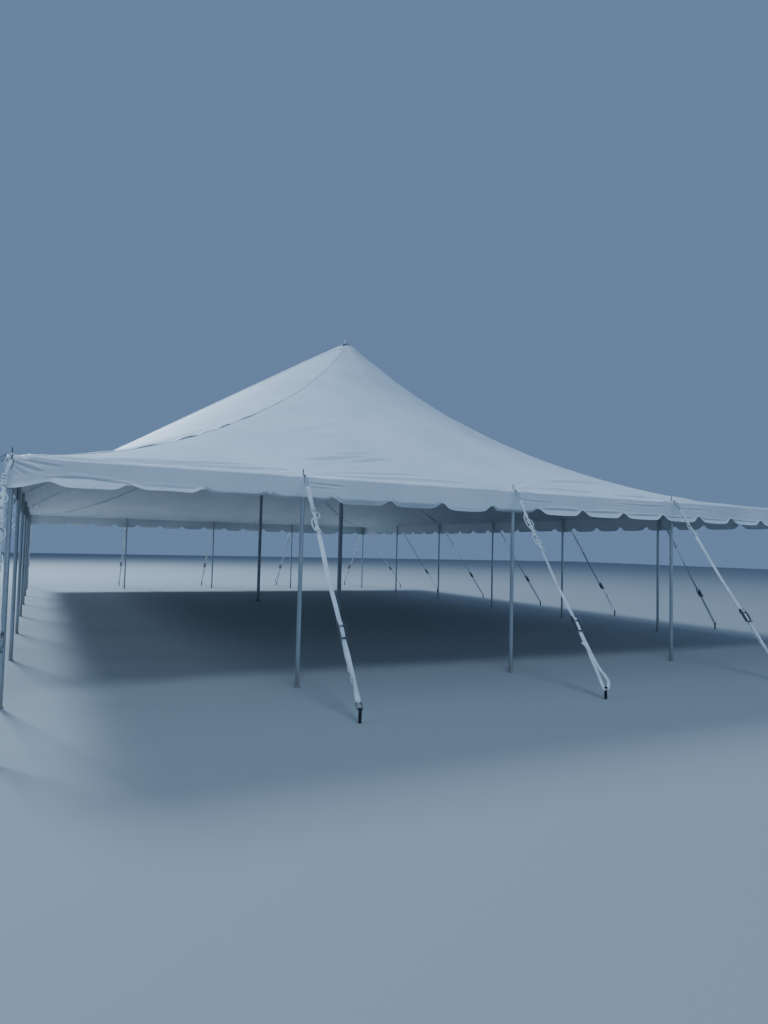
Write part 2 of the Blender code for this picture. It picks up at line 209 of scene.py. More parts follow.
def settle(heights, cells, rounds):
    """Moves each free knot to the mean of its neighbours, weighted by the pull of cloth and webbing."""
    across, along = plan_lines(cells)
    x, y = np.meshgrid(across, along, indexing="ij")

    def pull(first, second):
        middle_x = (x[first] + x[second]) / 2
        middle_y = (y[first] + y[second]) / 2
        return (HALF_WIDTH / np.hypot(middle_x, abs(middle_y) - CENTRE_POLE_Y)) ** NET_FALL_OFF

    webbing = cells / NET_CELLS
    steps = np.arange(BAYS_ACROSS * cells // 2)
    pull_across = pull(np.s_[:-1, :], np.s_[1:, :])
    pull_along = pull(np.s_[:, :-1], np.s_[:, 1:])
    inner = abs(along[:-1] + along[1:]) / 2 < CENTRE_POLE_Y
    pull_along[len(across) // 2, inner] += RIDGE_WEB_PULL * webbing
    pull_hip = np.full(len(steps), TAUT_HIP_PULL * webbing)
    joints = (
        (np.s_[:-1, :], np.s_[1:, :], pull_across),
        (np.s_[:, :-1], np.s_[:, 1:], pull_along),
        ((steps, steps), (steps + 1, steps + 1), pull_hip),
    )
    row = np.isclose(abs(y), CENTRE_POLE_Y)
    held = np.isclose(abs(x), HALF_WIDTH) | np.isclose(abs(y), HALF_LENGTH) | row
    straight = EAVE_TOP + (NET_PEAK - EAVE_TOP) * (1 - abs(x) / HALF_WIDTH)
    heights = np.where(held, np.where(row, straight, EAVE_TOP), heights)
    weight = np.zeros(x.shape)
    for first, second, strength in joints:
        weight[first] += strength
        weight[second] += strength
    for _ in range(rounds):
        pulled = np.zeros(x.shape)
        for first, second, strength in joints:
            pulled[first] += strength * heights[second]
            pulled[second] += strength * heights[first]
        heights = np.where(held, heights, pulled / weight)
    return heights


coarse_lines = plan_lines(NET_CELLS)
fine_lines = plan_lines(FINE_CELLS)
coarse = settle(np.full([len(line) for line in coarse_lines], NET_START), NET_CELLS, NET_ROUNDS)
fine = between(coarse_lines, coarse, *np.meshgrid(*fine_lines, indexing="ij"))
NET = settle(fine, FINE_CELLS, FINE_ROUNDS)

# The plan place of each side pole, by its name. The corner poles count as front and back ones.
SIDE_POLES = {}
for number in range(1, 6):
    along = BAY * (number - 3)
    SIDE_POLES[f"front_{number}"] = (along, -HALF_LENGTH)
    SIDE_POLES[f"back_{number}"] = (along, HALF_LENGTH)
    SIDE_POLES[f"left_{number}"] = (-HALF_WIDTH, along)
    SIDE_POLES[f"right_{number}"] = (HALF_WIDTH, along)


def crease(x, y, start, end, height, width):
    """A tension crease from start to end: a crest with a hollow beside it, dying away at both ends."""
    run_x, run_y = end[0] - start[0], end[1] - start[1]
    length = math.hypot(run_x, run_y)
    along = ((x - start[0]) * run_x + (y - start[1]) * run_y) / length
    off = ((y - start[1]) * run_x - (x - start[0]) * run_y) / length
    fade = np.sin(np.pi * np.clip(along / length, 0, 1)) ** 0.6
    wander = (off + CREASE_WANDER * np.sin(along * 4 + start[0] * 7)) / width
    return height * fade * wander * np.exp(0.5 - wander**2 / 2)


def pin_fan(x, y, pin, height, rays, turn):
    """Folds that run out of a pin like rays, strongest a hand's breadth away."""
    away_x, away_y = x - pin[0], y - pin[1]
    distance = np.hypot(away_x, away_y) / PIN_FAN_REACH
    return height * distance * np.exp(1 - distance) * np.sin(rays * np.arctan2(away_y, away_x) + turn)


def side_place(side, along, inward):
    """Plan place of a point so far along a side, from its left end seen outside, and in from the edge."""
    if side == "back":
        return HALF_WIDTH - along, EDGE_Y - inward
    if side == "left":
        return inward - EDGE_X, HALF_LENGTH - along
    return EDGE_X - inward, along - HALF_LENGTH


# Creases on the front section: their ends in plan, their height and their width.
FRONT_CREASES = (
    ((-5.50, -8.91), (-4.10, -8.99), 0.018, 0.021),
    ((-4.72, -8.99), (-3.05, -8.90), 0.018, 0.021),
    ((-5.70, -8.84), (-3.45, -8.74), 0.014, 0.021),
    ((-6.04, -9.09), (-4.85, -9.04), 0.014, 0.034),
    ((-5.20, -8.70), (-3.90, -8.52), 0.005, 0.026),
    ((-2.70, -9.03), (-0.60, -8.95), 0.012, 0.024),
    ((-2.50, -8.88), (-1.20, -8.80), 0.008, 0.024),
    ((-2.85, -8.41), (-1.75, -8.12), 0.018, 0.034),
    ((-2.25, -8.45), (-1.45, -8.20), 0.015, 0.034),
    ((-2.30, -8.12), (-1.66, -8.00), 0.011, 0.034),
    ((-2.60, -7.06), (-1.40, -6.48), 0.011, 0.050),
    ((-2.10, -7.30), (-1.20, -6.98), 0.008, 0.050),
    ((0.90, -7.40), (1.05, -7.95), 0.008, 0.055),
    ((-5.62, -8.42), (-4.52, -7.30), 0.020, 0.050),
    ((-5.45, -8.05), (-4.10, -6.72), 0.016, 0.050),
    ((-4.95, -7.88), (-3.60, -6.52), 0.014, 0.045),
    ((-4.70, -7.34), (-3.20, -5.90), 0.014, 0.050),
    ((0.98, -8.60), (2.40, -8.28), 0.017, 0.032),
    ((0.50, -8.97), (1.75, -8.92), 0.012, 0.024),
    ((1.90, -9.00), (2.95, -8.92), 0.011, 0.024),
    ((3.20, -8.95), (5.70, -8.82), 0.016, 0.026),
    ((3.50, -8.55), (4.90, -8.22), 0.014, 0.032),
    ((4.40, -9.03), (5.95, -9.04), 0.010, 0.022),
)
# In each bay of another side: how far in and how tall its creases along the eave are, and where its slanting
# creases start, along and inward, and how far they reach.
EAVE_CREASES = ((0.16, 0.014), (0.32, 0.013), (0.46, 0.008))
EAVE_CREASE_WIDTH = 0.022
SLANT_CREASES = ((0.30, 0.80, 0.95), (0.90, 0.76, 0.66), (0.80, 1.06, 0.45))
SLANT_CREASE_WIDTH = 0.034
SLANT = 0.26
MIRRORED_SHARE = 0.4
MIRRORED_SHIFT = 0.8


def side_creases(side, bays, rng):
    """The like of the front's creases in each bay of another side, never twice the same."""
    for left in BAY * np.arange(bays):
        for inward, tall in EAVE_CREASES:
            first = left + rng.uniform(0.05, 0.6)
            last = left + BAY - rng.uniform(0.1, 0.9)
            end = side_place(side, last, inward + rng.uniform(-0.06, 0.08))
            yield side_place(side, first, inward), end, tall, EAVE_CREASE_WIDTH
        for first, inward, reach in SLANT_CREASES:
            first = left + first + rng.uniform(-0.15, 0.3)
            if rng.random() < MIRRORED_SHARE:
                first, reach = first + reach + MIRRORED_SHIFT, -reach
            end = side_place(side, first + reach, inward + SLANT * abs(reach))
            yield side_place(side, first, inward), end, rng.uniform(0.010, 0.017), SLANT_CREASE_WIDTH


crease_rng = random.Random(4)
CREASES = list(FRONT_CREASES)
for side, bays in (("back", BAYS_ACROSS), ("left", BAYS_ALONG), ("right", BAYS_ALONG)):
    CREASES += side_creases(side, bays, crease_rng)
PIN_FANS = []
for side in ("front", "back", "left", "right"):
    for pin in (place for name, place in SIDE_POLES.items() if name.startswith(side)):
        corner = abs(pin[0]) == HALF_WIDTH and abs(pin[1]) == HALF_LENGTH
        tall = CORNER_FAN_HEIGHT if corner else PIN_FAN_HEIGHT
        PIN_FANS.append((pin, tall, crease_rng.choice((12, 14, 16)), crease_rng.uniform(0, 6)))


def hip_lines(x, y):
    """How far a plan point lies off the hip of its own quarter, and how far up it from the corner."""
    across, along = HALF_WIDTH - abs(x), HALF_LENGTH - abs(y)
    return (along - across) / math.sqrt(2), (along + across) / math.sqrt(2)


def hip_gathers(x, y):
    """The cloth drawn up in small gathers along the seam on each hip."""
    off, way = hip_lines(x, y)
    wave = np.sin(way * 2 * math.pi / GATHER_PITCH + 2 * np.sin(way * 1.7))
    fade = np.interp(way, GATHER_FADES, (0, 1, 1, 0))
    return GATHER_HEIGHT * wave * fade * np.exp(-((off / GATHER_WIDTH) ** 2))


def hip_rounding(x, y):
    """How far the taut hip's ridge is rounded off towards the peak, where the cloth draws into a cone."""
    off, way = hip_lines(x, y)
    share = np.clip((way - HIP_ROUND_FROM) / HIP_ROUND_OVER, 0, 1)
    reach = HIP_ROUNDING * share * ((x < 0) & (y < 0))
    return HIP_KINK * (np.hypot(off, reach) - abs(off))


def cloth_height(x, y):
    """Height of the canopy's top face over plan points."""
    height = between(fine_lines, NET, x, y)
    rounded = PEAK_TOP - PEAK_ROUNDING * np.logaddexp(0, (PEAK_TOP - height) / PEAK_ROUNDING)
    height = np.where(height > PEAK_TOP - PEAK_ROUNDED, rounded, height)
    extra = hip_gathers(x, y)
    for start, end, tall, width in CREASES:
        near = np.ones(len(x), bool)
        for places, first, last in zip((x, y), start, end):
            near &= (places > min(first, last) - CREASE_MARGIN) & (places < max(first, last) + CREASE_MARGIN)
        extra[near] += crease(x[near], y[near], start, end, tall, width)
    for pin, tall, rays, turn in PIN_FANS:
        near = (abs(x - pin[0]) < PIN_FAN_LIMIT) & (abs(y - pin[1]) < PIN_FAN_LIMIT)
        extra[near] += pin_fan(x[near], y[near], pin, tall, rays, turn)
    return height + extra - hip_rounding(x, y)


def rolled(flat, edge, roll=EAVE_ROLL):
    """Where a point of the flat cloth comes out, and how far it drops, with the edge rolled down."""
    start = edge - roll
    beyond = np.clip(abs(flat) - start, 0, None)
    turn = np.minimum(beyond / roll, math.pi / 2)
    out = np.minimum(abs(flat), start) + roll * np.sin(turn)
    drop = roll * (1 - np.cos(turn)) + np.maximum(beyond - roll * math.pi / 2, 0)
    return np.sign(flat) * out, drop


def cloth_lines(edge, low, high):
    """Lines of the flat cloth between low and high, closer near the eave and closest on its roll."""
    start = edge - EAVE_ROLL
    roll = start + np.linspace(0, EAVE_ROLL * math.pi / 2, 5)
    lip = roll[-1] + EAVE_LIP
    close = np.linspace(start - CREASE_REACH, start, round(CREASE_REACH / CREASE_CELL) + 1)[:-1]
    reach = EAVE_REACH - CREASE_REACH
    fine = np.linspace(close[0] - reach, close[0], round(reach / EAVE_CELL) + 1)[:-1]
    wide = np.linspace(0, fine[0], round(fine[0] / OPEN_CELL) + 1)[:-1]
    half = np.concatenate([wide, fine, close, roll, [lip]])
    lines = np.concatenate([-half[:0:-1], half])
    low, high = max(low, -lip), min(high, lip)
    inside = lines[(lines > low + 0.02) & (lines < high - 0.02)]
    ends = lines[(abs(lines) > start - 0.001) & (lines >= low) & (lines <= high)]
    return np.unique(np.concatenate([[low, high], inside, ends]))


def add_node(tree, kind, output, sockets, **settings):
    """Adds a node to a material's node tree, and gives back one of its outputs."""
    node = tree.nodes.new(f"ShaderNode{kind}")
    for name, value in settings.items():
        setattr(node, name, value)
    feed(node, sockets)
    return node.outputs[output]


def add_noise(place, scale, detail, roughness=0.5):
    sockets = {"Vector": place, "Scale": scale, "Detail": detail, "Roughness": roughness}
    return add_node(place.id_data, "TexNoise", "Fac", sockets)


def add_ramp(source, low, dark, high, light):
    """Blends from a dark colour where the source is low to a light one where it is high."""
    blend = add_node(source.id_data, "ValToRGB", "Color", {"Fac": source})
    first, last = blend.node.color_ramp.elements
    first.position, first.color = low, (*dark, 1)
    last.position, last.color = high, (*light, 1)
    return blend


def add_spread(source, low, high, start=0, end=1):
    """Runs from low to high while the source runs from start to end."""
    sockets = {"Value": source, "From Min": start, "From Max": end, "To Min": low, "To Max": high}
    return add_node(source.id_data, "MapRange", "Result", sockets)


def add_bump(source, strength, distance):
    sockets = {"Height": source, "Strength": strength, "Distance": distance}
    return add_node(source.id_data, "Bump", "Normal", sockets)


def vinyl(name, white, worn):
    """Coated polyester: white, semi-gloss, a little uneven, with a faint scrim weave under the coating."""
    material = new_material(name)
    place = add_node(material.node_tree, "TexCoord", "Object", {})
    cloud = add_noise(place, scale=0.9, detail=5, roughness=0.62)
    weave = add_node(place.id_data, "TexWave", "Fac", {"Vector": place, "Scale": 120, "Distortion": 0.4})
    slack = add_bump(add_noise(place, scale=1.8, detail=2), strength=0.3, distance=0.02)
    feed(slack.node, {"Normal": add_bump(weave, strength=0.08, distance=0.0006)})
    return shade(material, {
        "Base Color": add_ramp(cloud, 0.30, worn, 0.62, white),
        "Roughness": add_spread(add_noise(place, scale=14, detail=6), 0.36, 0.56),
        "Normal": slack,
    })


def show(name, mesh, material, slot=None, stands_for=()):
    """Adds a finished piece to the tent, with its material, and hides the solids it stands for. The slot is
    not used.
    """
    if isinstance(mesh, bmesh.types.BMesh):
        mesh = mesh_from(mesh, name)
    mesh.materials.clear()
    mesh.materials.append(material)
    mesh.shade_smooth()
    piece = bpy.data.objects.new(name, mesh)
    bpy.context.scene.collection.objects.link(piece)
    if stands_for:
        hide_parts(*stands_for)
    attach(piece, "root")
    return piece


def grid_mesh(name, columns, rows, place):
    """A sheet of columns by rows cells, whose corners go where place says from their two counts."""
    bm = bmesh.new()
    bm.loops.layers.uv.verify()
    bmesh.ops.create_grid(bm, x_segments=columns, y_segments=rows, size=1, calc_uvs=True)
    mesh = mesh_from(bm, name)
    corners = np.zeros(len(mesh.vertices) * 3, np.float32)
    mesh.vertices.foreach_get("co", corners)
    corners = corners.reshape(-1, 3)
    column = np.rint((corners[:, 0] + 1) / 2 * columns).astype(int)
    row = np.rint((corners[:, 1] + 1) / 2 * rows).astype(int)
    mesh.vertices.foreach_set("co", np.stack(place(column, row), axis=1).astype(np.float32).ravel())
    mesh.update()
    return mesh


def thicken(piece, thickness):
    """Gives a one-sided sheet its thickness, downwards or inwards."""
    thick = piece.modifiers.new("thickness", "SOLIDIFY")
    thick.thickness = thickness
    thick.offset = -1


def round_corner(x, y):
    """Rounds the canopy's four corners in plan."""
    out_x = abs(x) - (EDGE_X - CORNER_ROUNDING)
    out_y = abs(y) - (EDGE_Y - CORNER_ROUNDING)
    corner = (out_x > 0) & (out_y > 0)
    away = np.hypot(np.maximum(out_x, 1e-9), np.maximum(out_y, 1e-9))
    cut = np.where(corner, 1 - np.maximum(out_x, out_y) / away, 0)
    return np.sign(x) * (abs(x) - out_x * cut), np.sign(y) * (abs(y) - out_y * cut)


def lay_cloth(name, x_lines, y_lines):
    def place(column, row):
        x, drop_x = rolled(x_lines[column], EDGE_X)
        y, drop_y = rolled(y_lines[row], EDGE_Y)
        x, y = round_corner(x, y)
        return x, y, cloth_height(x, y) - np.maximum(drop_x, drop_y)

    return grid_mesh(name, len(x_lines) - 1, len(y_lines) - 1, place)


vinyl_white = vinyl("vinyl_white", VINYL_WHITE, VINYL_WORN)
for name, low, high, flat, area in (
    ("front", -EDGE_Y - 1, -CENTRE_POLE_Y - SEAM_GAP, END_FLAT, END_FLAT_AREA),
    ("middle", -CENTRE_POLE_Y + SEAM_GAP, CENTRE_POLE_Y - SEAM_GAP, MIDDLE_FLAT, None),
    ("back", CENTRE_POLE_Y + SEAM_GAP, EDGE_Y + 1, END_FLAT, END_FLAT_AREA),
):
    x_lines, y_lines = cloth_lines(EDGE_X, -EDGE_X - 1, EDGE_X + 1), cloth_lines(EDGE_Y, low, high)
    mesh = lay_cloth(f"cloth_{name}", x_lines, y_lines)
    cloth = show(f"cloth_{name}", mesh, vinyl_white, "canopy_vinyl", [f"canopy_{name}"])
    thicken(cloth, VINYL_THICKNESS)


# Valance
# A short curtain of the same vinyl, with a rounded notch every quarter bay and a bound hem. Its top is
# welded over the canopy's edge in a band of whiter vinyl: partly the doubled cloth's own whiteness, partly
# a painted highlight along the eave's fold. Its slack lip curls at each scallop.
VALANCE_BOTTOM = 2.1500
VALANCE_THICKNESS = 0.0025
VALANCE_OVER = 0.003
BAND_WIDTH = 0.045
BAND_ROWS = 7
BAND_CURVE = 0.010
HEM_ROWS = 3
# The band's colours are whiter than the cloth's: partly the doubled cloth, partly a painted highlight along
# the eave's fold.
BAND_WHITE_PAINTED_HIGHLIGHT = (0.93, 0.945, 0.96)
BAND_WORN_PAINTED_HIGHLIGHT = (0.84, 0.865, 0.89)
SCALLOP_PITCH = BAY / 4
NOTCH_ARCH = 0.022
NOTCH_RISE = 0.066
NOTCH_REACH = 0.076
HEM_WIDTH = 0.016
HEM_LIP = 0.002
HEM_RAISED = 0.0014
FRONT_ROWS = 26
OTHER_ROWS = 13
CORNER_DROOP = 0.008
CORNER_DROOP_REACH = 0.40
CORNER_LIP_REACH = 0.38
CREASE_FROM_TOP = 0.03
NEAR_NOTCH = 0.13
FAR_NOTCH = 0.40
CLOSEST = 0.008
# Each notch of the front, from the left corner: how far it stands beside its even place, how far it rises
# above the arch of the hem, and how wide it opens to its left and to its right, in metres.
FRONT_NOTCHES = (
    (-0.055, 0.060, 0.200, 0.115), (-0.050, 0.064, 0.088, 0.110), (-0.025, 0.066, 0.085, 0.090),
    (-0.030, 0.060, 0.105, 0.090), (0.0, 0.056, 0.070, 0.070), (0.0, 0.060, 0.076, 0.076),
    (-0.005, 0.070, 0.078, 0.078), (-0.005, 0.070, 0.078, 0.068), (0.030, 0.066, 0.078, 0.078),
    (0.045, 0.078, 0.080, 0.080), (0.075, 0.074, 0.078, 0.078), (0.130, 0.080, 0.080, 0.080),
    (0.150, 0.088, 0.082, 0.082), (0.160, 0.088, 0.080, 0.080), (0.120, 0.078, 0.076, 0.076),
    (0.060, 0.072, 0.076, 0.076),
)
# The lip of each front scallop, from the left: how far its hem stands out, and how tall the lip is.
FRONT_LIPS = (
    (0.018, 0.060), (0.080, 0.125), (0.077, 0.085), (-0.075, 0.078), (-0.073, 0.076), (-0.044, 0.076),
    (-0.048, 0.078), (-0.014, 0.050), (-0.054, 0.060), (0.038, 0.080), (0.040, 0.080), (0.046, 0.080),
    (0.038, 0.080), (0.040, 0.076), (0.042, 0.070), (0.036, 0.066), (0.020, 0.060),
)
# Creases on the front valance: their ends along and up, their height and their width.
FRONT_VALANCE_CREASES = (
    ((-6.15, 2.452), (-5.80, 2.345), 0.013, 0.013),
    ((-6.14, 2.436), (-5.92, 2.290), 0.011, 0.013),
    ((-6.06, 2.462), (-5.62, 2.398), 0.009, 0.012),
    ((-6.15, 2.400), (-6.02, 2.280), 0.009, 0.013),
    ((-5.80, 2.270), (-5.42, 2.297), 0.008, 0.009),
    ((-5.62, 2.292), (-5.12, 2.288), 0.009, 0.009),
    ((-5.34, 2.293), (-4.92, 2.260), 0.008, 0.009),
    ((-4.90, 2.246), (-4.26, 2.244), 0.005, 0.011),
    ((0.44, 2.246), (1.20, 2.244), 0.013, 0.011),
    ((1.22, 2.244), (1.98, 2.242), 0.013, 0.011),
    ((2.00, 2.240), (2.76, 2.238), 0.012, 0.010),
    ((2.78, 2.238), (3.54, 2.236), 0.011, 0.010),
    ((3.54, 2.236), (4.30, 2.234), 0.010, 0.010),
    ((4.30, 2.234), (5.08, 2.232), 0.009, 0.010),
    ((-3.02, 2.385), (-2.48, 2.374), 0.006, 0.010),
    ((-3.06, 2.345), (-2.66, 2.330), 0.004, 0.010),
    ((0.05, 2.37), (0.62, 2.352), 0.004, 0.011),
    ((1.85, 2.400), (2.90, 2.380), 0.006, 0.011),
    ((1.55, 2.352), (2.40, 2.356), 0.003, 0.011),
    ((3.10, 2.38), (3.85, 2.36), 0.005, 0.012),
)


def scallop_rise(along, places, rises, left_reaches, right_reaches):
    """How far the hem stands above its lowest line at a place along a side."""
    nearest = abs(along[:, None] - places[None, :]).argmin(axis=1)
    off = along - places[nearest]
    reach = np.where(off < 0, left_reaches[nearest], right_reaches[nearest])
    arch = np.clip(1 - abs(off) / (SCALLOP_PITCH / 2), 0, 1)
    return NOTCH_ARCH * arch**2 + rises[nearest] * np.exp(-((off / reach) ** 2))


def valance_columns(edge, notches):
    """Places along a side: close together round each notch, and on the turn at both corners."""
    straight = edge - CORNER_ROUNDING
    turn = np.linspace(0, CORNER_ROUNDING * math.pi / 4, 4)
    near = np.linspace(-NEAR_NOTCH, NEAR_NOTCH, 19)
    far = np.linspace(NEAR_NOTCH, FAR_NOTCH, 10)[1:]
    inside = (notches[:, None] + np.concatenate([-far[::-1], near, far])[None, :]).ravel()
    inside = np.sort(inside[abs(inside) < straight - CLOSEST])
    inside = inside[np.concatenate([[True], np.diff(inside) > CLOSEST])]
    return np.concatenate([-straight - turn[::-1], inside, straight + turn])


def lip_shape(along, height, hem, half, notches, lips):
    """How far a point of the curtain stands out, and how far it is drawn up, where its lip curls."""
    ends = np.concatenate([[-half - CORNER_LIP_REACH], notches, [half + CORNER_LIP_REACH]])
    out = np.zeros(len(along))
    drawn = np.zeros(len(along))
    for first, last, (lip, tall) in zip(ends, ends[1:], lips):
        off = np.clip(abs(along - (first + last) / 2) / ((last - first) / 2), 0, 1)
        swell = np.cos(off * math.pi / 2) ** 0.3
        ramp = np.clip((hem + tall * swell - height) / tall, 0, 1)
        out += np.where(off < 1, lip * swell * ramp**1.15, 0)
        drawn += np.where(off < 1, swell * ramp * (tall - math.sqrt(tall**2 - lip**2)), 0)
    return out, drawn


def hang_valance(side, half, edge, distance, notches, lips, creases, waves, fall_rows):
    shifts, rises, left_reaches, right_reaches = np.array(notches).T
    places = np.arange(-half + SCALLOP_PITCH / 2, half, SCALLOP_PITCH) + shifts
    along_places = valance_columns(edge, places)
    roll = EAVE_ROLL + VALANCE_OVER
    outer = distance + VALANCE_OVER
    curve = np.linspace(0, roll * math.pi / 2, BAND_ROWS - 1)
    band = outer - roll + np.concatenate([[-BAND_WIDTH, -BAND_CURVE], curve])
    hem_rows = (HEM_WIDTH + HEM_LIP, HEM_WIDTH, HEM_LIP, 0.0)
    straight = edge - CORNER_ROUNDING
    top = EAVE_TOP - EAVE_ROLL

    def set_out(along, away):
        arc = np.clip(abs(along) - straight, 0, None) / CORNER_ROUNDING
        reach = np.maximum(away - (distance - CORNER_ROUNDING), 0.002)
        turned = arc > 0
        run = np.sign(along) * np.where(turned, straight + reach * np.sin(arc), abs(along))
        away = np.where(turned, distance - CORNER_ROUNDING + reach * np.cos(arc), away)
        places = {"front": (run, -away), "right": (away, run), "back": (-run, away), "left": (-away, -run)}
        return places[side]

    def place(column, row):
        along = along_places[column]
        droop = CORNER_DROOP * np.exp(-(((half - abs(along)) / CORNER_DROOP_REACH) ** 2))
        hem = VALANCE_BOTTOM + scallop_rise(along, places, rises, left_reaches, right_reaches) - droop
        count = row - BAND_ROWS
        share = np.clip(count / fall_rows, 0, 1)
        height = top + (hem + hem_rows[0] - top) * share
        for step, rise in enumerate(hem_rows):
            height = np.where(count == fall_rows + step, hem + rise, height)
        hang = (top - height) / (top - VALANCE_BOTTOM)
        out = np.where(count > fall_rows, HEM_RAISED, 0.0)
        for length, turn, tall in waves:
            out = out + tall * hang * np.sin(along * 2 * math.pi / length + turn)
        lip_out, drawn = lip_shape(along, height, hem, half, places, lips)
        out = out + lip_out
        for start, end, tall, width in creases:
            below = np.clip((top - height) / CREASE_FROM_TOP, 0, 1)
            out = out + crease(along, height, start, end, tall, width) * below
        rolled_out, drop = rolled(band[np.minimum(row, BAND_ROWS)], outer, roll)
        on_band = count <= 0
        x, y = set_out(along, np.where(on_band, rolled_out, outer + out))
        return x, y, np.where(on_band, cloth_height(x, y) + VALANCE_OVER - drop, height + drawn)

    rows = BAND_ROWS + fall_rows + HEM_ROWS
    return grid_mesh(f"curtain_{side}", len(along_places) - 1, rows, place)


# What the scallops of the other sides are drawn from: notch shifts, lips and their heights. Creases fan out
# from each corner to these heights, and one more lies at random for each notch.
LIPS = (-0.05, -0.025, -0.006, 0.006, 0.018, 0.036)
CORNER_CREASE_ENDS = (2.385, 2.30, 2.20)
CORNER_CREASE_START = (0.06, 2.45)


def other_scallops(half, rng):
    """Notches, lips and creases like the front's, for a side that the photograph shows less well or not."""
    draw = rng.uniform
    count = round(2 * half / SCALLOP_PITCH)
    notches = [(draw(-0.03, 0.03), NOTCH_RISE * draw(0.9, 1.1), NOTCH_REACH * draw(0.9, 1.2),
                NOTCH_REACH * draw(0.9, 1.2)) for _ in range(count)]
    lips = [(rng.choice(LIPS), draw(0.055, 0.085)) for _ in range(count + 1)]
    creases = []
    for corner in (-1, 1):
        start = (corner * (half + CORNER_CREASE_START[0]), CORNER_CREASE_START[1])
        for low in CORNER_CREASE_ENDS:
            creases.append((start, (corner * (half - draw(0.15, 0.45)), low), 0.011, 0.014))
    for _ in range(count):
        start = (draw(-half, half - 0.8), draw(2.27, 2.41))
        end = (start[0] + draw(0.4, 0.9), start[1] + draw(-0.02, 0.02))
        creases.append((start, end, 0.006, 0.012))
    return notches, lips, creases


# The band's whiter vinyl is partly the doubled cloth and partly a painted highlight along the eave.
vinyl_band_painted_highlight = vinyl("vinyl_band_painted_highlight", BAND_WHITE_PAINTED_HIGHLIGHT, BAND_WORN_PAINTED_HIGHLIGHT)
valance_rng = random.Random(11)
for side, half, edge, distance, holder in (
    ("front", HALF_WIDTH, EDGE_X, EDGE_Y, "cloth_front"),
    ("right", HALF_LENGTH, EDGE_Y, EDGE_X, "cloth_middle"),
    ("back", HALF_WIDTH, EDGE_X, EDGE_Y, "cloth_back"),
    ("left", HALF_LENGTH, EDGE_Y, EDGE_X, "cloth_middle"),
):
    if side == "front":
        notches, lips, creases = FRONT_NOTCHES, FRONT_LIPS, FRONT_VALANCE_CREASES
    else:
        notches, lips, creases = other_scallops(half, valance_rng)
    waves = [(valance_rng.uniform(0.7, 3.4), valance_rng.uniform(0, 6), 0.004) for _ in range(4)]
    fall_rows = FRONT_ROWS if side == "front" else OTHER_ROWS
    mesh = hang_valance(side, half, edge, distance, notches, lips, creases, waves, fall_rows)
    curtain = show(f"curtain_{side}", mesh, vinyl_white, "valance_vinyl", [f"valance_{side}"])
    curtain.data.materials.append(vinyl_band_painted_highlight)
    counts = curtain.data.uv_layers[0].data
    band_share = (BAND_ROWS + 0.5) / (BAND_ROWS + fall_rows + HEM_ROWS)
    for face in curtain.data.polygons:
        face.material_index = int(max(counts[loop].uv.y for loop in face.loop_indices) < band_share)
    thicken(curtain, VALANCE_THICKNESS)


# Hip seams, lacing flaps and peak patches
# Along each hip the panels are welded under a vinyl cover strip, whose free edge the pull makes gape. A
# loose flap keeps rain off each row of lacing. A round patch doubles the cloth where the spike goes through.
HIP_LENGTH = HALF_WIDTH * math.sqrt(2)
HIP_STRIP_WIDTH = 0.110
HIP_STRIP_START = 0.16
HIP_STRIP_END = 0.30
FLAP_WIDTH = 0.17
FLAP_STEPS = 240
FLAP_LIFT = 0.009
FLAP_WANDER = 0.004
PATCH_RADII = (0.021, 0.026, 0.05, 0.08, 0.11, 0.145, 0.18, 0.21, 0.236, 0.24)
PATCH_STEPS = 64
PATCH_OVER = 0.0062
PATCH_EDGE = 0.0006
STRIP_OVER = 0.0026
GAPE = 0.012
STRIP_THICKNESS = 0.0016
HIP_STEPS = 260
CORNERS = (
    ("front_left", -1, -1), ("front_right", 1, -1), ("back_left", -1, 1), ("back_right", 1, 1),
)

for name, side_x, side_y in CORNERS:
    end = name.split("_")[0]
    strip_rng = random.Random(5 + side_x + 3 * side_y)
    beats = np.cumsum([0.0] + [strip_rng.uniform(0.28, 0.60) for _ in range(40)])
    ways = np.linspace(HIP_STRIP_START, HIP_LENGTH - HIP_STRIP_END, HIP_STEPS + 1)
    offs = HIP_STRIP_WIDTH * np.array([-0.5, -0.46, -0.34, -0.2, -0.07, 0.07, 0.2, 0.34, 0.46, 0.5])
    pucker = np.sin(np.interp(ways, beats, np.arange(len(beats))) * math.pi)
    loose = np.interp(ways / HIP_LENGTH, (0, 0.16, 0.28, 0.48, 0.62, 1), (0.0, 0.25, 1.0, 1.0, 0.35, 0.1))

    def place(column, row):
        way, off = ways[row], offs[column]
        x = side_x * (HALF_WIDTH - (way - off) / math.sqrt(2))
        y = side_y * (HALF_LENGTH - (way + off) / math.sqrt(2))
        across = off / HIP_STRIP_WIDTH * 2
        lift = STRIP_OVER * np.clip(8 * (1 - abs(across)), 0.1, 1)
        free = np.clip((0.45 - across) / 1.45, 0, 1)
        lift = lift + GAPE * loose[row] * np.maximum(pucker[row], 0) ** 0.7 * free**0.8
        return x, y, cloth_height(x, y) + lift + STRIP_THICKNESS

    mesh = grid_mesh("hip", len(offs) - 1, HIP_STEPS, place)
    if side_x * side_y < 0:
        mesh.flip_normals()
    strip = show(f"hip_seam_{name}", mesh, vinyl_white, "canopy_vinyl")
    thicken(strip, STRIP_THICKNESS)

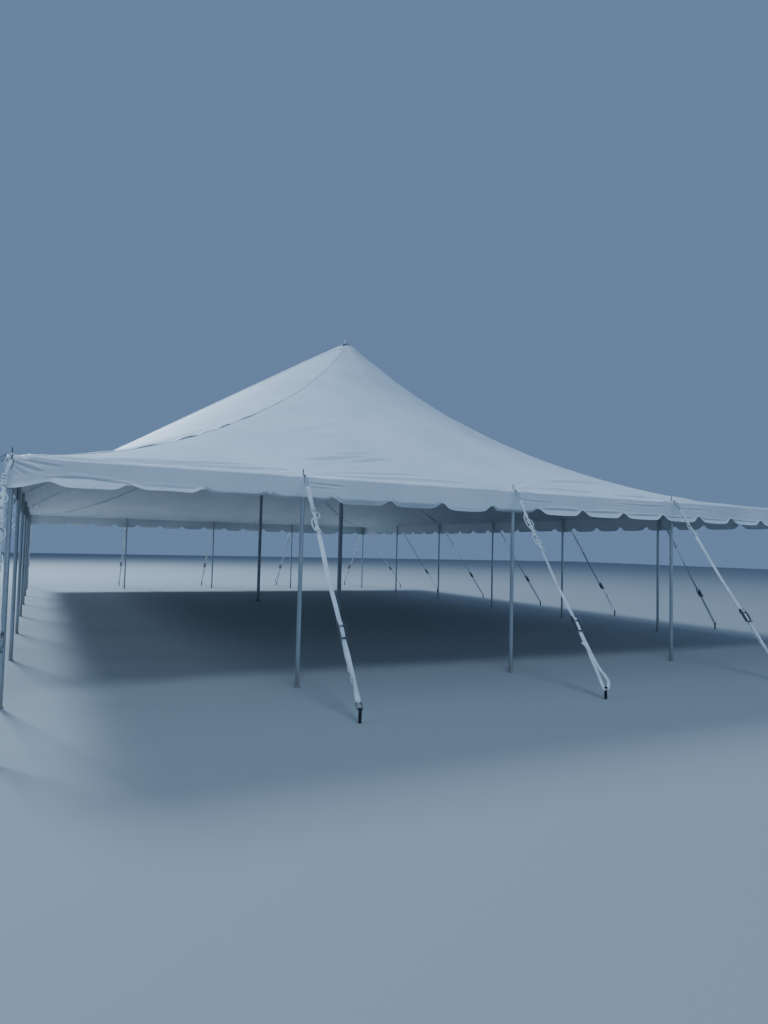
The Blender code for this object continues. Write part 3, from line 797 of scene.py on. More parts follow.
for end, row_y in (("front", -CENTRE_POLE_Y), ("back", CENTRE_POLE_Y)):
    flap_rng = random.Random(8)
    beats = np.linspace(-EDGE_X - 0.1, EDGE_X + 0.1, 44)
    lifts = [flap_rng.uniform(0.0, FLAP_LIFT) for _ in beats]
    runs = np.linspace(-EDGE_X + 0.02, EDGE_X - 0.02, FLAP_STEPS + 1)
    offs = FLAP_WIDTH * np.array([-0.5, -0.48, -0.2, 0.1, 0.3, 0.42, 0.5])

    def place(column, row):
        x, off = runs[row], offs[column]
        free = np.clip((off / FLAP_WIDTH - 0.05) / 0.45, 0, 1)
        y = row_y + off + FLAP_WANDER * free * np.sin(x * 5)
        lift = np.where(column == 0, 0.0004, STRIP_OVER) + free * np.interp(x, beats, lifts)
        return x, y, cloth_height(x, y) + lift + STRIP_THICKNESS * 1.2

    mesh = grid_mesh("flap", len(offs) - 1, FLAP_STEPS, place)
    flap = show(f"lacing_flap_{end}", mesh, vinyl_white, "canopy_vinyl")
    thicken(flap, STRIP_THICKNESS)

    def place(column, row):
        turn = column * 2 * math.pi / PATCH_STEPS
        radius = np.array(PATCH_RADII)[row]
        x, y = radius * np.cos(turn), row_y + radius * np.sin(turn)
        lift = np.where(row == len(PATCH_RADII) - 1, PATCH_EDGE, PATCH_OVER)
        return x, y, cloth_height(x, y) + lift + STRIP_THICKNESS

    mesh = grid_mesh("patch", PATCH_STEPS, len(PATCH_RADII) - 1, place)
    bm = bmesh.new()
    bm.from_mesh(mesh)
    bpy.data.meshes.remove(mesh)
    bmesh.ops.remove_doubles(bm, verts=bm.verts, dist=0.0002)
    bmesh.ops.recalc_face_normals(bm, faces=bm.faces)
    if sum(face.normal.z for face in bm.faces) < 0:
        bmesh.ops.reverse_faces(bm, faces=bm.faces)
    patch = show(f"peak_patch_{end}", bm, vinyl_white, "canopy_vinyl")
    thicken(patch, STRIP_THICKNESS)


# Side poles
# Twenty galvanised steel tubes with a welded foot disc, a crimped-in plug at the top and a steel pin that
# stands up through the canopy's grommet. The zinc has gone dull and streaky, and the foot is dusty.
SIDE_POLE_SIDES = 24
PIN_FROM = 2.4601
SHARP_ANGLE = 32
SPANGLE_SCALE = 70
STREAK_SCALE = (40, 40, 1.4)
STREAK_SHARE = 0.6
DUST = (0.30, 0.265, 0.22)
DUST_SHARE = 0.75
DUSTY_HEIGHT = 0.35
# The line that is turned round each pole's axis: radii and heights.
SIDE_POLE_PROFILE = (
    (0.0, 0.0), (0.0345, 0.0), (0.0360, 0.0015), (0.0360, 0.0100), (0.0345, 0.0120), (0.0310, 0.0122),
    (0.0275, 0.0140), (0.0256, 0.0180), (0.0254, 0.0230), (0.0254, 0.6), (0.0254, 1.4), (0.0254, 2.2),
    (0.0254, 2.3850), (0.0247, 2.3885), (0.0240, 2.3930), (0.0247, 2.3975), (0.0254, 2.4010),
    (0.0254, 2.4440), (0.0248, 2.4460), (0.0238, 2.4462), (0.0238, 2.4585), (0.0225, 2.4600),
    (0.0065, 2.4602), (0.0065, 2.5480), (0.0055, 2.5560), (0.0030, 2.5600), (0.0, 2.5603),
)


def lathe(bm, profile, sides):
    """Turns a line of (radius, height) points round the upright axis."""
    points = [bm.verts.new((radius, 0, height)) for radius, height in profile]
    line = [bm.edges.new(pair) for pair in zip(points, points[1:])]
    turned = dict(cent=(0, 0, 0), axis=(0, 0, 1), angle=2 * math.pi, steps=sides, use_merge=True)
    bmesh.ops.spin(bm, geom=points + line, **turned)
    bmesh.ops.remove_doubles(bm, verts=bm.verts, dist=0.0001)
    bmesh.ops.recalc_face_normals(bm, faces=bm.faces)


def add_cover(share, under, over):
    """Lays one colour over another where the share is high."""
    return add_node(share.id_data, "Mix", 2, {0: share, 6: under, 7: (*over, 1)}, data_type="RGBA")


def galvanised(name, light, dark, streak_share=STREAK_SHARE, dusty_height=DUSTY_HEIGHT):
    """Old zinc on steel: mottled spangle, streaks down the tube, scratches, and dust near the floor."""
    material = new_material(name)
    tree = material.node_tree
    place = add_node(tree, "TexCoord", "Object", {})
    spangle = add_node(tree, "TexVoronoi", "Distance", {"Vector": place, "Scale": SPANGLE_SCALE})
    streaks = add_node(tree, "Mapping", "Vector", {"Vector": place, "Scale": STREAK_SCALE})
    streaks = add_noise(streaks, scale=1, detail=5)
    both = add_node(tree, "Mix", 0, {0: streak_share, 2: spangle, 3: streaks})
    height = add_node(tree, "SeparateXYZ", "Z", {"Vector": place})
    dusty = add_spread(height, DUST_SHARE, 0.0, end=dusty_height)
    return shade(material, {
        "Base Color": add_cover(dusty, add_ramp(both, 0.25, dark, 0.75, light), DUST),
        "Metallic": 0.75,
        "Roughness": add_spread(streaks, 0.36, 0.62),
        "Normal": add_bump(streaks, strength=0.12, distance=0.0008),
    })


def turned_about(angle, size=3):
    """The turn of a thing by an angle about the upright axis."""
    return Matrix.Rotation(angle, size, "Z")


side_pole_zinc = galvanised("side_pole_zinc", (0.60, 0.62, 0.63), (0.34, 0.36, 0.38))
# The pin's near-black tones are painted shade: its colour is darkened to stand in for the shade it is seen
# in.
pin_steel_painted_shade = galvanised("pin_steel_painted_shade", (0.20, 0.205, 0.21), (0.07, 0.072, 0.076))
template = bmesh.new()
lathe(template, SIDE_POLE_PROFILE, SIDE_POLE_SIDES)
for name, (x, y) in SIDE_POLES.items():
    bm = template.copy()
    bmesh.ops.rotate(bm, verts=bm.verts, cent=(0, 0, 0), matrix=turned_about(x * 3 + y))
    bmesh.ops.translate(bm, verts=bm.verts, vec=(x, y, 0))
    pole = show(f"pole_{name}", bm, side_pole_zinc, "side_pole_metal", [f"side_pole_{name}"])
    pole.data.materials.append(pin_steel_painted_shade)
    for face in pole.data.polygons:
        lowest = min(pole.data.vertices[corner].co.z for corner in face.vertices)
        face.material_index = int(lowest > PIN_FROM)
    pole.data.set_sharp_from_angle(angle=math.radians(SHARP_ANGLE))
template.free()

# Centre poles
# Two wide tubes on a steel foot plate stiffened by four gussets. A domed head plate carries the canopy's
# peak, and a slim spike on a collar comes out through the peak's reinforced hole.
CENTRE_POLE_SIDES = 40
CENTRE_POLE_PROFILE = (
    (0.0, 0.0), (0.0980, 0.0), (0.1000, 0.0020), (0.1000, 0.0120), (0.0980, 0.0140), (0.0500, 0.0142),
    (0.0462, 0.0170), (0.0450, 0.0220), (0.0450, 1.5), (0.0450, 2.9950), (0.0470, 3.0000),
    (0.0490, 3.0050), (0.0490, 3.1150), (0.0470, 3.1200), (0.0450, 3.1250), (0.0450, 4.6),
    (0.0450, 6.0200), (0.0475, 6.0260), (0.0560, 6.0320), (0.0900, 6.0380), (0.0950, 6.0400),
    (0.0950, 6.0460), (0.0900, 6.0485), (0.0500, 6.0500), (0.0185, 6.0505), (0.0180, 6.1240),
    (0.0165, 6.1290), (0.0105, 6.1310), (0.0090, 6.1360), (0.0085, 6.2600), (0.0070, 6.3300),
    (0.0035, 6.3640), (0.0, 6.3703),
)
# A gusset's outline from the tube outwards, its thickness and its rounded edges.
GUSSET = ((0.040, 0.012), (0.086, 0.012), (0.086, 0.024), (0.040, 0.085))
GUSSET_THICKNESS = 0.006
GUSSET_ROUNDING = 0.0012


def deepen(bm, face, depth):
    """Gives a flat face a depth, and gives back the corners of the new side."""
    grown = bmesh.ops.extrude_face_region(bm, geom=[face])["geom"]
    moved = [part for part in grown if isinstance(part, bmesh.types.BMVert)]
    bmesh.ops.translate(bm, verts=moved, vec=depth)
    return moved


rounded_edges = dict(offset=GUSSET_ROUNDING, segments=1, profile=0.5, affect="EDGES", material=-1)
gusset = bmesh.new()
outline = [gusset.verts.new((out, -GUSSET_THICKNESS / 2, up)) for out, up in GUSSET]
deepen(gusset, gusset.faces.new(outline), (0, GUSSET_THICKNESS, 0))
bmesh.ops.bevel(gusset, geom=gusset.edges[:], **rounded_edges)
bmesh.ops.recalc_face_normals(gusset, faces=gusset.faces)
bmesh.ops.rotate(gusset, verts=gusset.verts, cent=(0, 0, 0), matrix=turned_about(math.pi / 4))
gusset = mesh_from(gusset, "gusset")
centre_pole_zinc = galvanised("centre_pole_zinc", (0.46, 0.48, 0.50), (0.25, 0.27, 0.29), 0.7, 0.5)
template = bmesh.new()
lathe(template, CENTRE_POLE_PROFILE, CENTRE_POLE_SIDES)
for _ in range(4):
    template.from_mesh(gusset)
    gusset.transform(turned_about(math.pi / 2, 4))
for name, y in (("front", -CENTRE_POLE_Y), ("back", CENTRE_POLE_Y)):
    bm = template.copy()
    bmesh.ops.translate(bm, verts=bm.verts, vec=(0, y, 0))
    pole = show(f"mast_{name}", bm, centre_pole_zinc, "centre_pole_metal", [f"centre_pole_{name}"])
    pole.data.set_sharp_from_angle(angle=math.radians(SHARP_ANGLE))
template.free()
bpy.data.meshes.remove(gusset)

# Guys
# Every side pole is held by white webbing down to a steel stake, and each corner pole by two. A ring on the
# pole's pin carries a hook and a doubled strap with its slack chained up. A ratchet draws the long strap
# taut, and a doubled strap below it goes to the stake. Some were tied up neatly and some were not.
GUY_TOP = Vector((0.0663, 0, 2.4694))
GUY_FOOT = Vector((1.78, 0, 0.122))
GUY_ALONG = (GUY_FOOT - GUY_TOP).normalized()
GUY_OUT = Vector((-GUY_ALONG.z, 0, GUY_ALONG.x))
GUY_FRAME = Matrix.Translation(GUY_TOP) @ Matrix((GUY_ALONG, (0, 1, 0), GUY_OUT)).transposed().to_4x4()
STRAP_WIDTH = 0.048
STRAP_THICKNESS = 0.0028
ROD = 0.0075
SHARP_STRAP_ANGLE = 40


def flat_outline(width, thickness):
    """Outline of a flat strap with slightly rounded edges."""
    w, t = width / 2, thickness / 2
    return [(-w, -t * 0.3), (-w * 0.96, -t), (w * 0.96, -t), (w, -t * 0.3),
            (w, t * 0.3), (w * 0.96, t), (-w * 0.96, t), (-w, t * 0.3)]


def round_outline(width, thickness, count=8):
    """Outline of a rod, or of a strap that is bunched up."""
    turns = np.arange(count) * 2 * math.pi / count
    return [(width / 2 * math.cos(turn), thickness / 2 * math.sin(turn)) for turn in turns]


def through(points, steps):
    """A smooth path through points, in so many steps."""
    points = np.array(points, float)
    last = len(points) - 1
    places = np.linspace(0, last, steps + 1)
    spans = np.minimum(places.astype(int), last - 1)
    t = (places - spans)[:, None]
    a, b, c, d = (points[np.clip(spans + step, 0, last)] for step in (-1, 0, 1, 2))
    bend = (2 * a - 5 * b + 4 * c - d) * t**2
    return 0.5 * (2 * b + (c - a) * t + bend + (3 * b - a - 3 * c + d) * t**3)


def ring_path(centre, first, second, steps):
    """A closed oval round centre, between the tips of its two half axes."""
    turns = np.arange(steps) * 2 * math.pi / steps
    return np.array(centre) + np.outer(np.cos(turns), first) + np.outer(np.sin(turns), second)


def sweep(bm, path, outline, across=(0, 1, 0), closed=False, widths=1, twist=0):
    """Carries an outline along a path, with its ends closed, or as an endless ring."""
    path = np.array(path, float)
    sides, count = len(outline), len(path)
    rows = count if closed else count - 1
    if closed:
        ahead = np.roll(path, -1, axis=0) - np.roll(path, 1, axis=0)
    else:
        ahead = np.gradient(path, axis=0)
    ahead /= np.linalg.norm(ahead, axis=1)[:, None]
    up = np.cross(ahead, np.array(across, float))
    up /= np.linalg.norm(up, axis=1)[:, None]
    side = np.cross(up, ahead)
    run = np.concatenate([[0], np.cumsum(np.linalg.norm(np.diff(path, axis=0), axis=1))])
    run = np.append(run, run[-1] + np.linalg.norm(path[0] - path[-1]))
    girth = sum(math.dist(outline[i], outline[i - 1]) for i in range(sides))
    widths, twist = np.broadcast_to(widths, count), np.broadcast_to(twist, count)
    corners = bmesh.ops.create_grid(bm, x_segments=sides, y_segments=rows, size=1)["verts"]
    counts = {}
    for corner in corners:
        column, row = round((corner.co.x + 1) / 2 * sides), round((corner.co.y + 1) / 2 * rows)
        counts[corner] = (column, row)
        at = row % count
        cos, sin = math.cos(twist[at]), math.sin(twist[at])
        a, b = outline[column % sides]
        a *= widths[at]
        corner.co = path[at] + side[at] * (a * cos - b * sin) + up[at] * (a * sin + b * cos)
    layer = bm.loops.layers.uv.verify()
    for face in {face for corner in corners for face in corner.link_faces}:
        for loop in face.loops:
            column, row = counts[loop.vert]
            loop[layer].uv = (column * girth / sides, run[row])
    bmesh.ops.remove_doubles(bm, verts=corners, dist=0.00002)
    if not closed:
        ends = [edge for edge in bm.edges if edge.is_boundary]
        bmesh.ops.holes_fill(bm, edges=ends, sides=0)


def strand(bm, points, steps, outline, start=(0, 0, 0), **how):
    """Sweeps an outline smoothly through points that are counted from a start."""
    sweep(bm, through(np.array(points) + start, steps), outline, **how)


def ring(bm, centre, first, second, steps, outline, across=(0, 0, 1)):
    sweep(bm, ring_path(centre, first, second, steps), outline, across=across, closed=True)


def bight(bm, centre, long, wide):
    """One of the open loops that the slack is chained in, beside the strap."""
    ring(bm, centre, (long, 0, 0.004), (0, wide, 0.010), 18, round_outline(0.011, 0.013, 6))


def hitch(bm, centre, size):
    """A hitch drawn tight round the strap: two turns that cross in front."""
    outline = round_outline(0.019, 0.011, 6)
    for lean in (0.6, -0.5):
        ring(bm, centre, (lean * size, size, 0), (-0.2 * size, 0, 0.7 * size), 16, outline, (1, 0, 0))


def twisted_pair(bm, along, aside, pitch, reach, width, thickness):
    """Two strands of the slack, laid round each other."""
    for number in range(2):
        turn = (along - along[0]) / pitch * 2 * math.pi + number * math.pi
        ease = reach * np.clip(np.minimum(along - along[0], along[-1] - along) / 0.05, 0.35, 1)
        path = np.stack([along, aside + ease * np.sin(turn), ease * np.cos(turn)], axis=1)
        swell = 1 + 0.22 * np.sin(turn * 1.7 + number)
        sweep(bm, path, round_outline(width, thickness), widths=swell)


# Two paths of a lower strap from the ratchet's foot round the stake and back, a tail and a spare strand.
SPLIT_STRANDS = (
    (2.36, 0.010, 0.004), (2.52, 0.016, 0.004), (2.66, 0.032, 0.006), (2.78, 0.068, 0.010),
    (2.845, 0.073, 0.006), (2.900, 0.040, -0.002), (2.925, 0.0, -0.004), (2.900, -0.022, -0.002),
    (2.74, -0.018, 0.0), (2.52, -0.010, 0.0), (2.34, -0.006, 0.0),
)
SPLIT_TAIL = ((0.29, -0.006, 0.010), (0.23, -0.020, 0.016), (0.185, -0.040, 0.014), (0.160, -0.058, 0.008))
LOWER_STRAP = (
    (2.40, 0.003, 0.010), (2.58, 0.010, 0.009), (2.70, 0.003, 0.007), (2.818, 0, 0.004),
    (2.828, 0, 0.0), (2.818, 0, -0.004), (2.70, 0.003, -0.006), (2.58, 0.009, -0.008),
    (2.40, -0.002, -0.010),
)
LOWER_PINCH = ((0, 4, 7, 10, 13, 15, 18, 20, 25), (0.9, 1.05, 0.75, 0.62, 0.62, 0.95, 1.1, 1.1, 0.8))
SPARE_STRAND = (
    (2.43, -0.008, 0.010), (2.465, -0.028, 0.014), (2.51, -0.032, 0.016), (2.55, -0.016, 0.016),
    (2.59, -0.029, 0.016), (2.63, -0.027, 0.014), (2.67, -0.006, 0.010),
)
TOP_PINCH = ((0, 6, 12, 15, 18, 24, 30), (0.7, 1.0, 0.85, 0.55, 0.85, 1.0, 0.7))
LONG_PINCH = ((0, 0.06, 1), (0.55, 1.0, 1.0))
SLACK_END = ((-0.05, 0, 0.010), (-0.025, 0.014, 0.017), (-0.010, 0.025, 0.013), (0.012, 0.032, 0.004))
OVER_RATCHET = (
    (0.085, 0, 0.018), (0.11, 0, 0.016), (0.16, 0.001, 0.014), (0.190, 0.001, 0.011), (0.215, 0.001, 0.009),
)
SPOOL_TURNS = (0.0215, 0.0180)
SPOOL_ALONG = 0.045


def make_straps(style):
    """The white webbing of one guy, along +X from its top, with +Z outwards."""
    bm = bmesh.new()
    chain_start, chain_end = style["chain"]
    ratchet = style["ratchet"]
    first = style["top"]

    def aside(along):
        """How far the chained slack hangs beside the guy's straight line."""
        offs = (0, style["aside"], style["aside"], 0)
        return np.interp(along, (first, chain_start + 0.04, chain_end, ratchet), offs)

    middle = (first + chain_start) / 2
    top = np.array([
        (chain_start + 0.04, 0, -0.006), (middle, 0.002, -0.007), (first + 0.05, 0, -0.006),
        (first + 0.008, 0, -0.004), (first, 0, 0.0), (first + 0.008, 0, 0.004),
        (first + 0.05, 0, 0.006), (middle, -0.002, 0.007), (chain_start + 0.04, 0, 0.006),
    ])
    top[:, 1] += aside(top[:, 0])
    bunched = np.interp(np.arange(31), *TOP_PINCH)
    sweep(bm, through(top, 30), flat_outline(style["top_width"], 0.0045), widths=bunched)
    pitch, *pair = style["pair"]
    chain = np.linspace(chain_start, chain_end, round((chain_end - chain_start) / pitch * 14) + 1)
    twisted_pair(bm, chain, aside(chain), pitch, *pair)
    for along, side, long, wide in style["bights"]:
        bight(bm, (along, side + aside(along), 0.006), long, wide)
    for along, size in style["hitches"]:
        hitch(bm, (along, aside(along), 0), size)
    slack = dict(start=(chain_end, aside(chain_end), 0), across=(0.3, 0.6, 0.7))
    strand(bm, SLACK_END, 8, flat_outline(0.026, 0.006), **slack)
    run = np.linspace(chain_end - 0.02, ratchet + 0.035, 18)
    share = (run - run[0]) / (run[-1] - run[0])
    sag = -0.010 * np.sin(share * math.pi)
    long_path = np.stack([run, aside(run) + 0.003 * np.sin(share * 9), sag], axis=1)
    shape = dict(widths=np.interp(share, *LONG_PINCH), twist=style["twist"] * (1 - share) ** 1.4)
    sweep(bm, long_path, flat_outline(STRAP_WIDTH, STRAP_THICKNESS), **shape)
    strand(bm, OVER_RATCHET, 10, flat_outline(0.043, 0.003), start=(ratchet, 0, 0))
    wound = flat_outline(STRAP_WIDTH - 0.002, 0.0030)
    for layer, reach in enumerate(SPOOL_TURNS):
        centre = (ratchet + SPOOL_ALONG, 0.001 * layer, 0)
        ring(bm, centre, (reach, 0, 0), (0, 0, reach * 0.97), 18, wound, (0, 1, 0))
    low = ratchet + 0.20
    if style["split"]:
        points = ((low, 0.004, 0.004), *SPLIT_STRANDS, (low, -0.004, 0.0))
        strand(bm, points, 60, round_outline(0.034, 0.009), across=(0, 1, 0.4))
        tail = dict(start=(low, 0, 0), across=(0.3, 0.9, 0.2))
        strand(bm, SPLIT_TAIL, 10, flat_outline(0.026, 0.0045), **tail)
    else:
        points = ((low, 0.001, 0.005), *LOWER_STRAP, (low, -0.001, -0.005))
        pinch = np.interp(np.arange(26), *LOWER_PINCH)
        pinch = np.concatenate([pinch, pinch[-2::-1]])
        strand(bm, points, 50, flat_outline(STRAP_WIDTH, 0.0040), widths=pinch)
        strand(bm, SPARE_STRAND, 24, round_outline(0.010, 0.007, 6))
    bmesh.ops.transform(bm, verts=bm.verts, matrix=GUY_FRAME)
    lashing = round_outline(0.007, 0.007, 6)
    ring(bm, (-0.003, 0, EAVE_TOP + 0.020), (0.014, 0, 0.006), (0.003, 0.014, 0), 14, lashing)
    bmesh.ops.recalc_face_normals(bm, faces=bm.faces)
    return bm


# The steel link, and the plates, toothed wheels and bars of a ratchet, counted from its upper end. A plate
# has its start, end, half height, distance beside the strap, lift, corners and depth of teeth. A bar has its
# place, lift, half length and radius, and the last one is the handle's dark grip.
LINK_CENTRE = 0.0732
LINK_HALF = 0.0948
LINK_TURNED = 0.100
PLATE_THICKNESS = 0.003
RATCHET_PLATES = (
    (0.0, 0.205, 0.020, 0.029, 0.0, 20, 1.0),
    (0.022, 0.196, 0.015, 0.037, 0.008, 20, 1.0),
    (0.018, 0.072, 0.027, 0.033, 0.0, 24, 0.84),
)
RATCHET_BARS = (
    (0.045, 0.0, 0.041, 0.0085), (0.105, 0.004, 0.031, 0.005), (0.150, -0.006, 0.031, 0.005),
    (0.195, 0.0, 0.034, 0.0065), (0.208, 0.018, 0.052, 0.0090),
)
HANDLE = ((0.020, 0.043, 0.004), (0.06, 0.047, 0.016), (0.13, 0.049, 0.020), (0.175, 0.048, 0.018))
STAKE_RING = (2.868, 0, 0)
PIN_RING = (0.023, 0, EAVE_TOP + 0.0077)
COLLAR_RADIUS = 0.024
COLLAR_BOTTOM = 0.0006
COLLAR_PROFILE = (
    (0.0245, 0.0030), (0.0235, 0.0042), (0.0090, 0.0042), (0.0084, 0.0034), (0.0084, 0.0006),
)


def cut_plate(bm, start, end, half, side, lift, segments, tooth):
    """A flat steel plate with round ends, or a toothed wheel, on edge beside the strap."""
    made = bmesh.ops.create_circle(bm, segments=segments, radius=half, cap_ends=True)["verts"]
    for number, corner in enumerate(made):
        corner.co *= 1.0 if number % 2 else tooth
        corner.co.x += start + half if corner.co.x < 0 else end - half
    whole = list(made) + deepen(bm, made[0].link_faces[0], (0, 0, PLATE_THICKNESS))
    on_edge = Matrix.Rotation(math.pi / 2, 3, "X")
    bmesh.ops.rotate(bm, verts=whole, cent=(0, 0, 0), matrix=on_edge)
    bmesh.ops.translate(bm, verts=whole, vec=(0, side + PLATE_THICKNESS / 2, lift))


def make_hardware(style):
    """The rings and ratchet of one guy, and the ring that its lower strap hooks over the stake with."""
    bm = bmesh.new()
    ratchet = style["ratchet"]
    rod = round_outline(ROD, ROD)
    link = ring_path((LINK_CENTRE, 0, 0), (LINK_HALF, 0, 0), (0, 0.017, 0), 36)
    quarter = np.clip((LINK_TURNED - link[:, 0]) / LINK_TURNED, 0, 1)
    quarter = (3 - 2 * quarter) * quarter**2 * math.pi / 2
    link[:, 2] = link[:, 1] * np.sin(quarter)
    link[:, 1] *= np.cos(quarter)
    sweep(bm, link, rod, across=(0, 1, 1), closed=True)
    for start, end, half, side, *rest in RATCHET_PLATES:
        for beside in (-side, side):
            cut_plate(bm, ratchet + start, ratchet + end, half, beside, *rest)
    for along, lift, reach, radius in RATCHET_BARS:
        before = set(bm.faces)
        path = [(ratchet + along, y, lift) for y in (-reach, 0, reach)]
        sweep(bm, path, round_outline(2 * radius, 2 * radius, 12), across=(0, 0, 1))
    for face in set(bm.faces) - before:
        face.material_index = 1
    strand(bm, HANDLE, 10, round_outline(0.008, 0.012), start=(ratchet, 0, 0))
    if not style["split"]:
        ring(bm, STAKE_RING, (0.056, 0, 0), (0, 0.028, 0), 24, round_outline(0.013, 0.013))
    bmesh.ops.transform(bm, verts=bm.verts, matrix=GUY_FRAME)
    collar = bmesh.ops.create_circle(bm, segments=24, radius=COLLAR_RADIUS)["verts"]
    for corner in collar:
        corner.co.z = EAVE_TOP + COLLAR_BOTTOM
    edges = list({edge for corner in collar for edge in corner.link_edges})
    for radius, height in COLLAR_PROFILE:
        grown = bmesh.ops.extrude_edge_only(bm, edges=edges)["geom"]
        edges = [part for part in grown if isinstance(part, bmesh.types.BMEdge)]
        for corner in (part for part in grown if isinstance(part, bmesh.types.BMVert)):
            turn = math.atan2(corner.co.y, corner.co.x)
            corner.co = (radius * math.cos(turn), radius * math.sin(turn), EAVE_TOP + height)
    bmesh.ops.bridge_loops(bm, edges=[edge for edge in bm.edges if edge.is_boundary])
    ring(bm, PIN_RING, (0.037, 0, 0), (0, 0.019, 0), 20, rod)
    bmesh.ops.recalc_face_normals(bm, faces=bm.faces)
    return bm


STAKE_SIDES = 18
STAKE_PROFILE = (
    (0.0, 0.0), (0.0155, 0.0), (0.0155, 0.118), (0.0165, 0.1215), (0.0195, 0.1225), (0.0210, 0.1250),
    (0.0210, 0.1350), (0.0190, 0.1385), (0.0120, 0.1400), (0.0, 0.1400),
)


def make_stake(_style):
    """The head of a stake, which is the same for every guy."""
    bm = bmesh.new()
    lathe(bm, STAKE_PROFILE, STAKE_SIDES)
    bmesh.ops.translate(bm, verts=bm.verts, vec=(GUY_FOOT.x, 0, 0))
    return bm


def webbing(name, white, worn):
    """Woven polyester strap: fine ribs across it, a little grey where it has been handled."""
    material = new_material(name)
    along = add_node(material.node_tree, "TexCoord", "UV", {})
    sockets = {"Vector": along, "Scale": 90, "Distortion": 0.6}
    ribs = add_node(along.id_data, "TexWave", "Fac", sockets, bands_direction="Y")
    cloud = add_noise(along.node.outputs["Object"], scale=5, detail=5)
    return shade(material, {
        "Base Color": add_ramp(cloud, 0.32, worn, 0.58, white),
        "Roughness": 0.72,
        "Sheen Weight": 0.15,
        "Normal": add_bump(ribs, strength=0.35, distance=0.0008),
    })


def old_steel(name, bare, dark, rust, rust_share, rough):
    """Steel with patches of another tone and specks of rust."""
    material = new_material(name)
    place = add_node(material.node_tree, "TexCoord", "Object", {})
    cloud, spots = add_noise(place, scale=38, detail=6), add_noise(place, scale=90, detail=4)
    rusty = add_spread(spots, 0, 1, start=1 - rust_share, end=1 - rust_share + 0.08)
    return shade(material, {
        "Base Color": add_cover(rusty, add_ramp(cloud, 0.35, dark, 0.62, bare), rust),
        "Metallic": 0.6,
        "Roughness": add_spread(cloud, rough, rough + 0.25),
        "Normal": add_bump(spots, strength=0.25, distance=0.0006),
    })


# How each style of guy is made up, in metres from its top: where the strap starts, where the slack is
# chained and how far beside the line, where the ratchet sits, and whether the lower strap is split. A pair
# has its pitch, reach, width and thickness, a hitch its place and size, and a bight its place along and
# beside the strap and its two half axes.
GUY_STYLES = {
    "knotted": dict(
        top=0.162, chain=(0.50, 0.84), ratchet=1.945, split=False, top_width=0.055, aside=0.0,
        pair=(0.21, 0.007, 0.028, 0.013), twist=0.6, hitches=((0.515, 0.027), (0.64, 0.022), (0.80, 0.029)),
        bights=((0.59, 0.036, 0.044, 0.021), (0.720, -0.027, 0.080, 0.023))),
    "chained": dict(
        top=0.162, chain=(0.40, 1.00), ratchet=1.970, split=True, top_width=0.040, aside=-0.020,
        pair=(0.19, 0.009, 0.031, 0.014), twist=-0.35,
        hitches=((0.43, 0.022), (0.64, 0.027), (0.71, 0.023), (0.965, 0.030)),
        bights=((0.545, -0.026, 0.112, 0.027), (0.560, 0.022, 0.062, 0.019),
                (0.830, -0.026, 0.088, 0.024), (0.86, 0.020, 0.040, 0.016))),
    "plain": dict(
        top=0.162, chain=(0.40, 0.66), ratchet=1.930, split=False, top_width=0.048, aside=0.0,
        pair=(0.18, 0.007, 0.025, 0.011), twist=0.4, hitches=((0.415, 0.024), (0.635, 0.027)),
        bights=((0.53, -0.026, 0.078, 0.024),)),
    "long": dict(
        top=0.060, chain=(0.24, 1.36), ratchet=1.950, split=False, top_width=0.034, aside=-0.046,
        pair=(0.20, 0.009, 0.030, 0.014), twist=0.5,
        hitches=[(along, 0.029) for along in (0.27, 0.31, 0.35, 0.39, 0.66, 0.84, 0.90, 1.06, 1.24, 1.33)],
        bights=((0.56, 0.024, 0.050, 0.018), (0.76, -0.024, 0.070, 0.022), (0.97, 0.024, 0.060, 0.020),
                (1.15, -0.022, 0.074, 0.022), (1.24, 0.022, 0.050, 0.018))),
}
# The styles on each side's poles in turn. A corner pole has two guys, one square to each of its sides.
GUY_MADE = {
    "front": "long+chained knotted chained plain knotted+plain",
    "back": "chained+plain plain knotted chained long+knotted",
    "left": "chained knotted plain chained knotted",
    "right": "knotted chained plain knotted chained",
}
SIDE_TURNS = {"front": -math.pi / 2, "back": math.pi / 2, "left": math.pi, "right": 0.0}
ZINC_TONES = (0.21, 0.215, 0.22), (0.07, 0.073, 0.078), (0.22, 0.10, 0.045)
STAKE_TONES = (0.045, 0.045, 0.048), (0.018, 0.018, 0.02), (0.16, 0.065, 0.03)
guy_webbing = webbing("guy_webbing", (0.80, 0.815, 0.82), (0.60, 0.62, 0.63))
ratchet_zinc = old_steel("ratchet_zinc", *ZINC_TONES, rust_share=0.36, rough=0.32)
stake_steel = old_steel("stake_steel", *STAKE_TONES, rust_share=0.42, rough=0.45)
GUY_KINDS = (
    ("strap", make_straps, guy_webbing, "guy_webbing"),
    ("ratchet", make_hardware, ratchet_zinc, None),
    ("stake", make_stake, stake_steel, None),
)
templates = {}
for kind, make, _, _ in GUY_KINDS:
    for style_name, style in GUY_STYLES.items():
        templates[kind, style_name] = mesh_from(make(style), style_name)
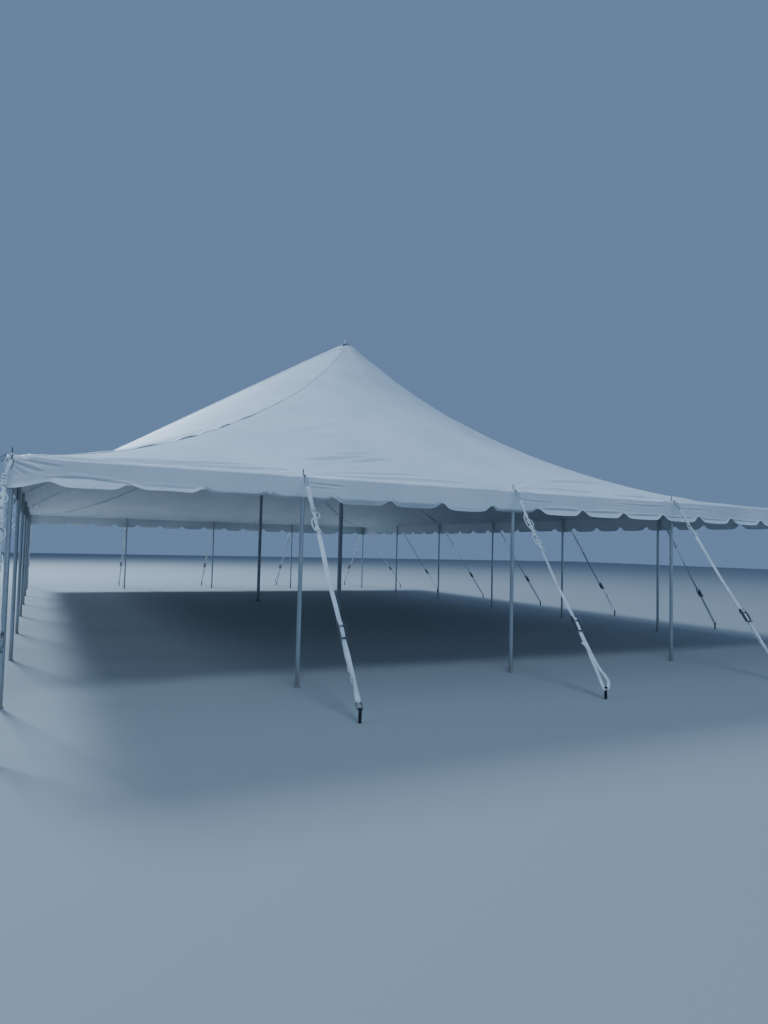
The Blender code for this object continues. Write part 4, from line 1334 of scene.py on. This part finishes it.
for name, (x, y) in SIDE_POLES.items():
    side, number = name.split("_")
    styles = GUY_MADE[side].split()[int(number) - 1].split("+")
    turns = (SIDE_TURNS[side], SIDE_TURNS["left" if x < 0 else "right"])
    for kind, _, finish, slot in GUY_KINDS:
        bm = bmesh.new()
        for style_name, turn in zip(styles, turns):
            seen = set(bm.verts)
            bm.from_mesh(templates[kind, style_name])
            fresh = [corner for corner in bm.verts if corner not in seen]
            turned = Matrix.Translation((x, y, 0)) @ turned_about(turn, 4)
            bmesh.ops.transform(bm, verts=fresh, matrix=turned)
        piece = show(f"{kind}_{name}", bm, finish, slot, [f"guy_{name}"])
        if kind == "ratchet":
            piece.data.materials.append(stake_steel)
        piece.data.set_sharp_from_angle(angle=math.radians(SHARP_STRAP_ANGLE))
for mesh in templates.values():
    bpy.data.meshes.remove(mesh)

# Webbing under the cloth
# Polyester webbing is sewn to the underside along the four hips, the two rows of lacing and the ridge.
# It takes the pull between the centre poles and the side poles, and the cloth hangs on it.
WEBBING_WIDTH = 0.05
WEBBING_THICKNESS = 0.003
WEBBING_UNDER = 0.016
WEBBING_STEP = 0.05
WEBBING_COLUMNS = 4
WEBBING_FROM_EDGE = 0.10
WEBBING_FROM_PEAK = 0.14


def sew_webbing(name, corner, peak):
    """A webbing under the cloth, straight in plan between two points, and a little short of both."""
    run = np.array(peak) - np.array(corner)
    length = math.hypot(*run)
    ahead = run / length
    first, last = WEBBING_FROM_EDGE, length - WEBBING_FROM_PEAK
    steps = round((last - first) / WEBBING_STEP)

    def place(column, row):
        off = WEBBING_WIDTH * (column / WEBBING_COLUMNS - 0.5)
        way = first + (last - first) * row / steps
        x = corner[0] + ahead[0] * way + ahead[1] * off
        y = corner[1] + ahead[1] * way - ahead[0] * off
        return x, y, cloth_height(x, y) - WEBBING_UNDER

    mesh = grid_mesh(name, WEBBING_COLUMNS, steps, place)
    thicken(show(f"webbing_{name}", mesh, guy_webbing, "guy_webbing"), WEBBING_THICKNESS)


for name, side_x, side_y in CORNERS:
    peak = (0, side_y * CENTRE_POLE_Y)
    sew_webbing(f"hip_{name}", (side_x * HALF_WIDTH, side_y * HALF_LENGTH), peak)
    sew_webbing(f"row_{name}", (side_x * HALF_WIDTH, side_y * CENTRE_POLE_Y), peak)
sew_webbing("ridge", (0, -CENTRE_POLE_Y), (0, CENTRE_POLE_Y))
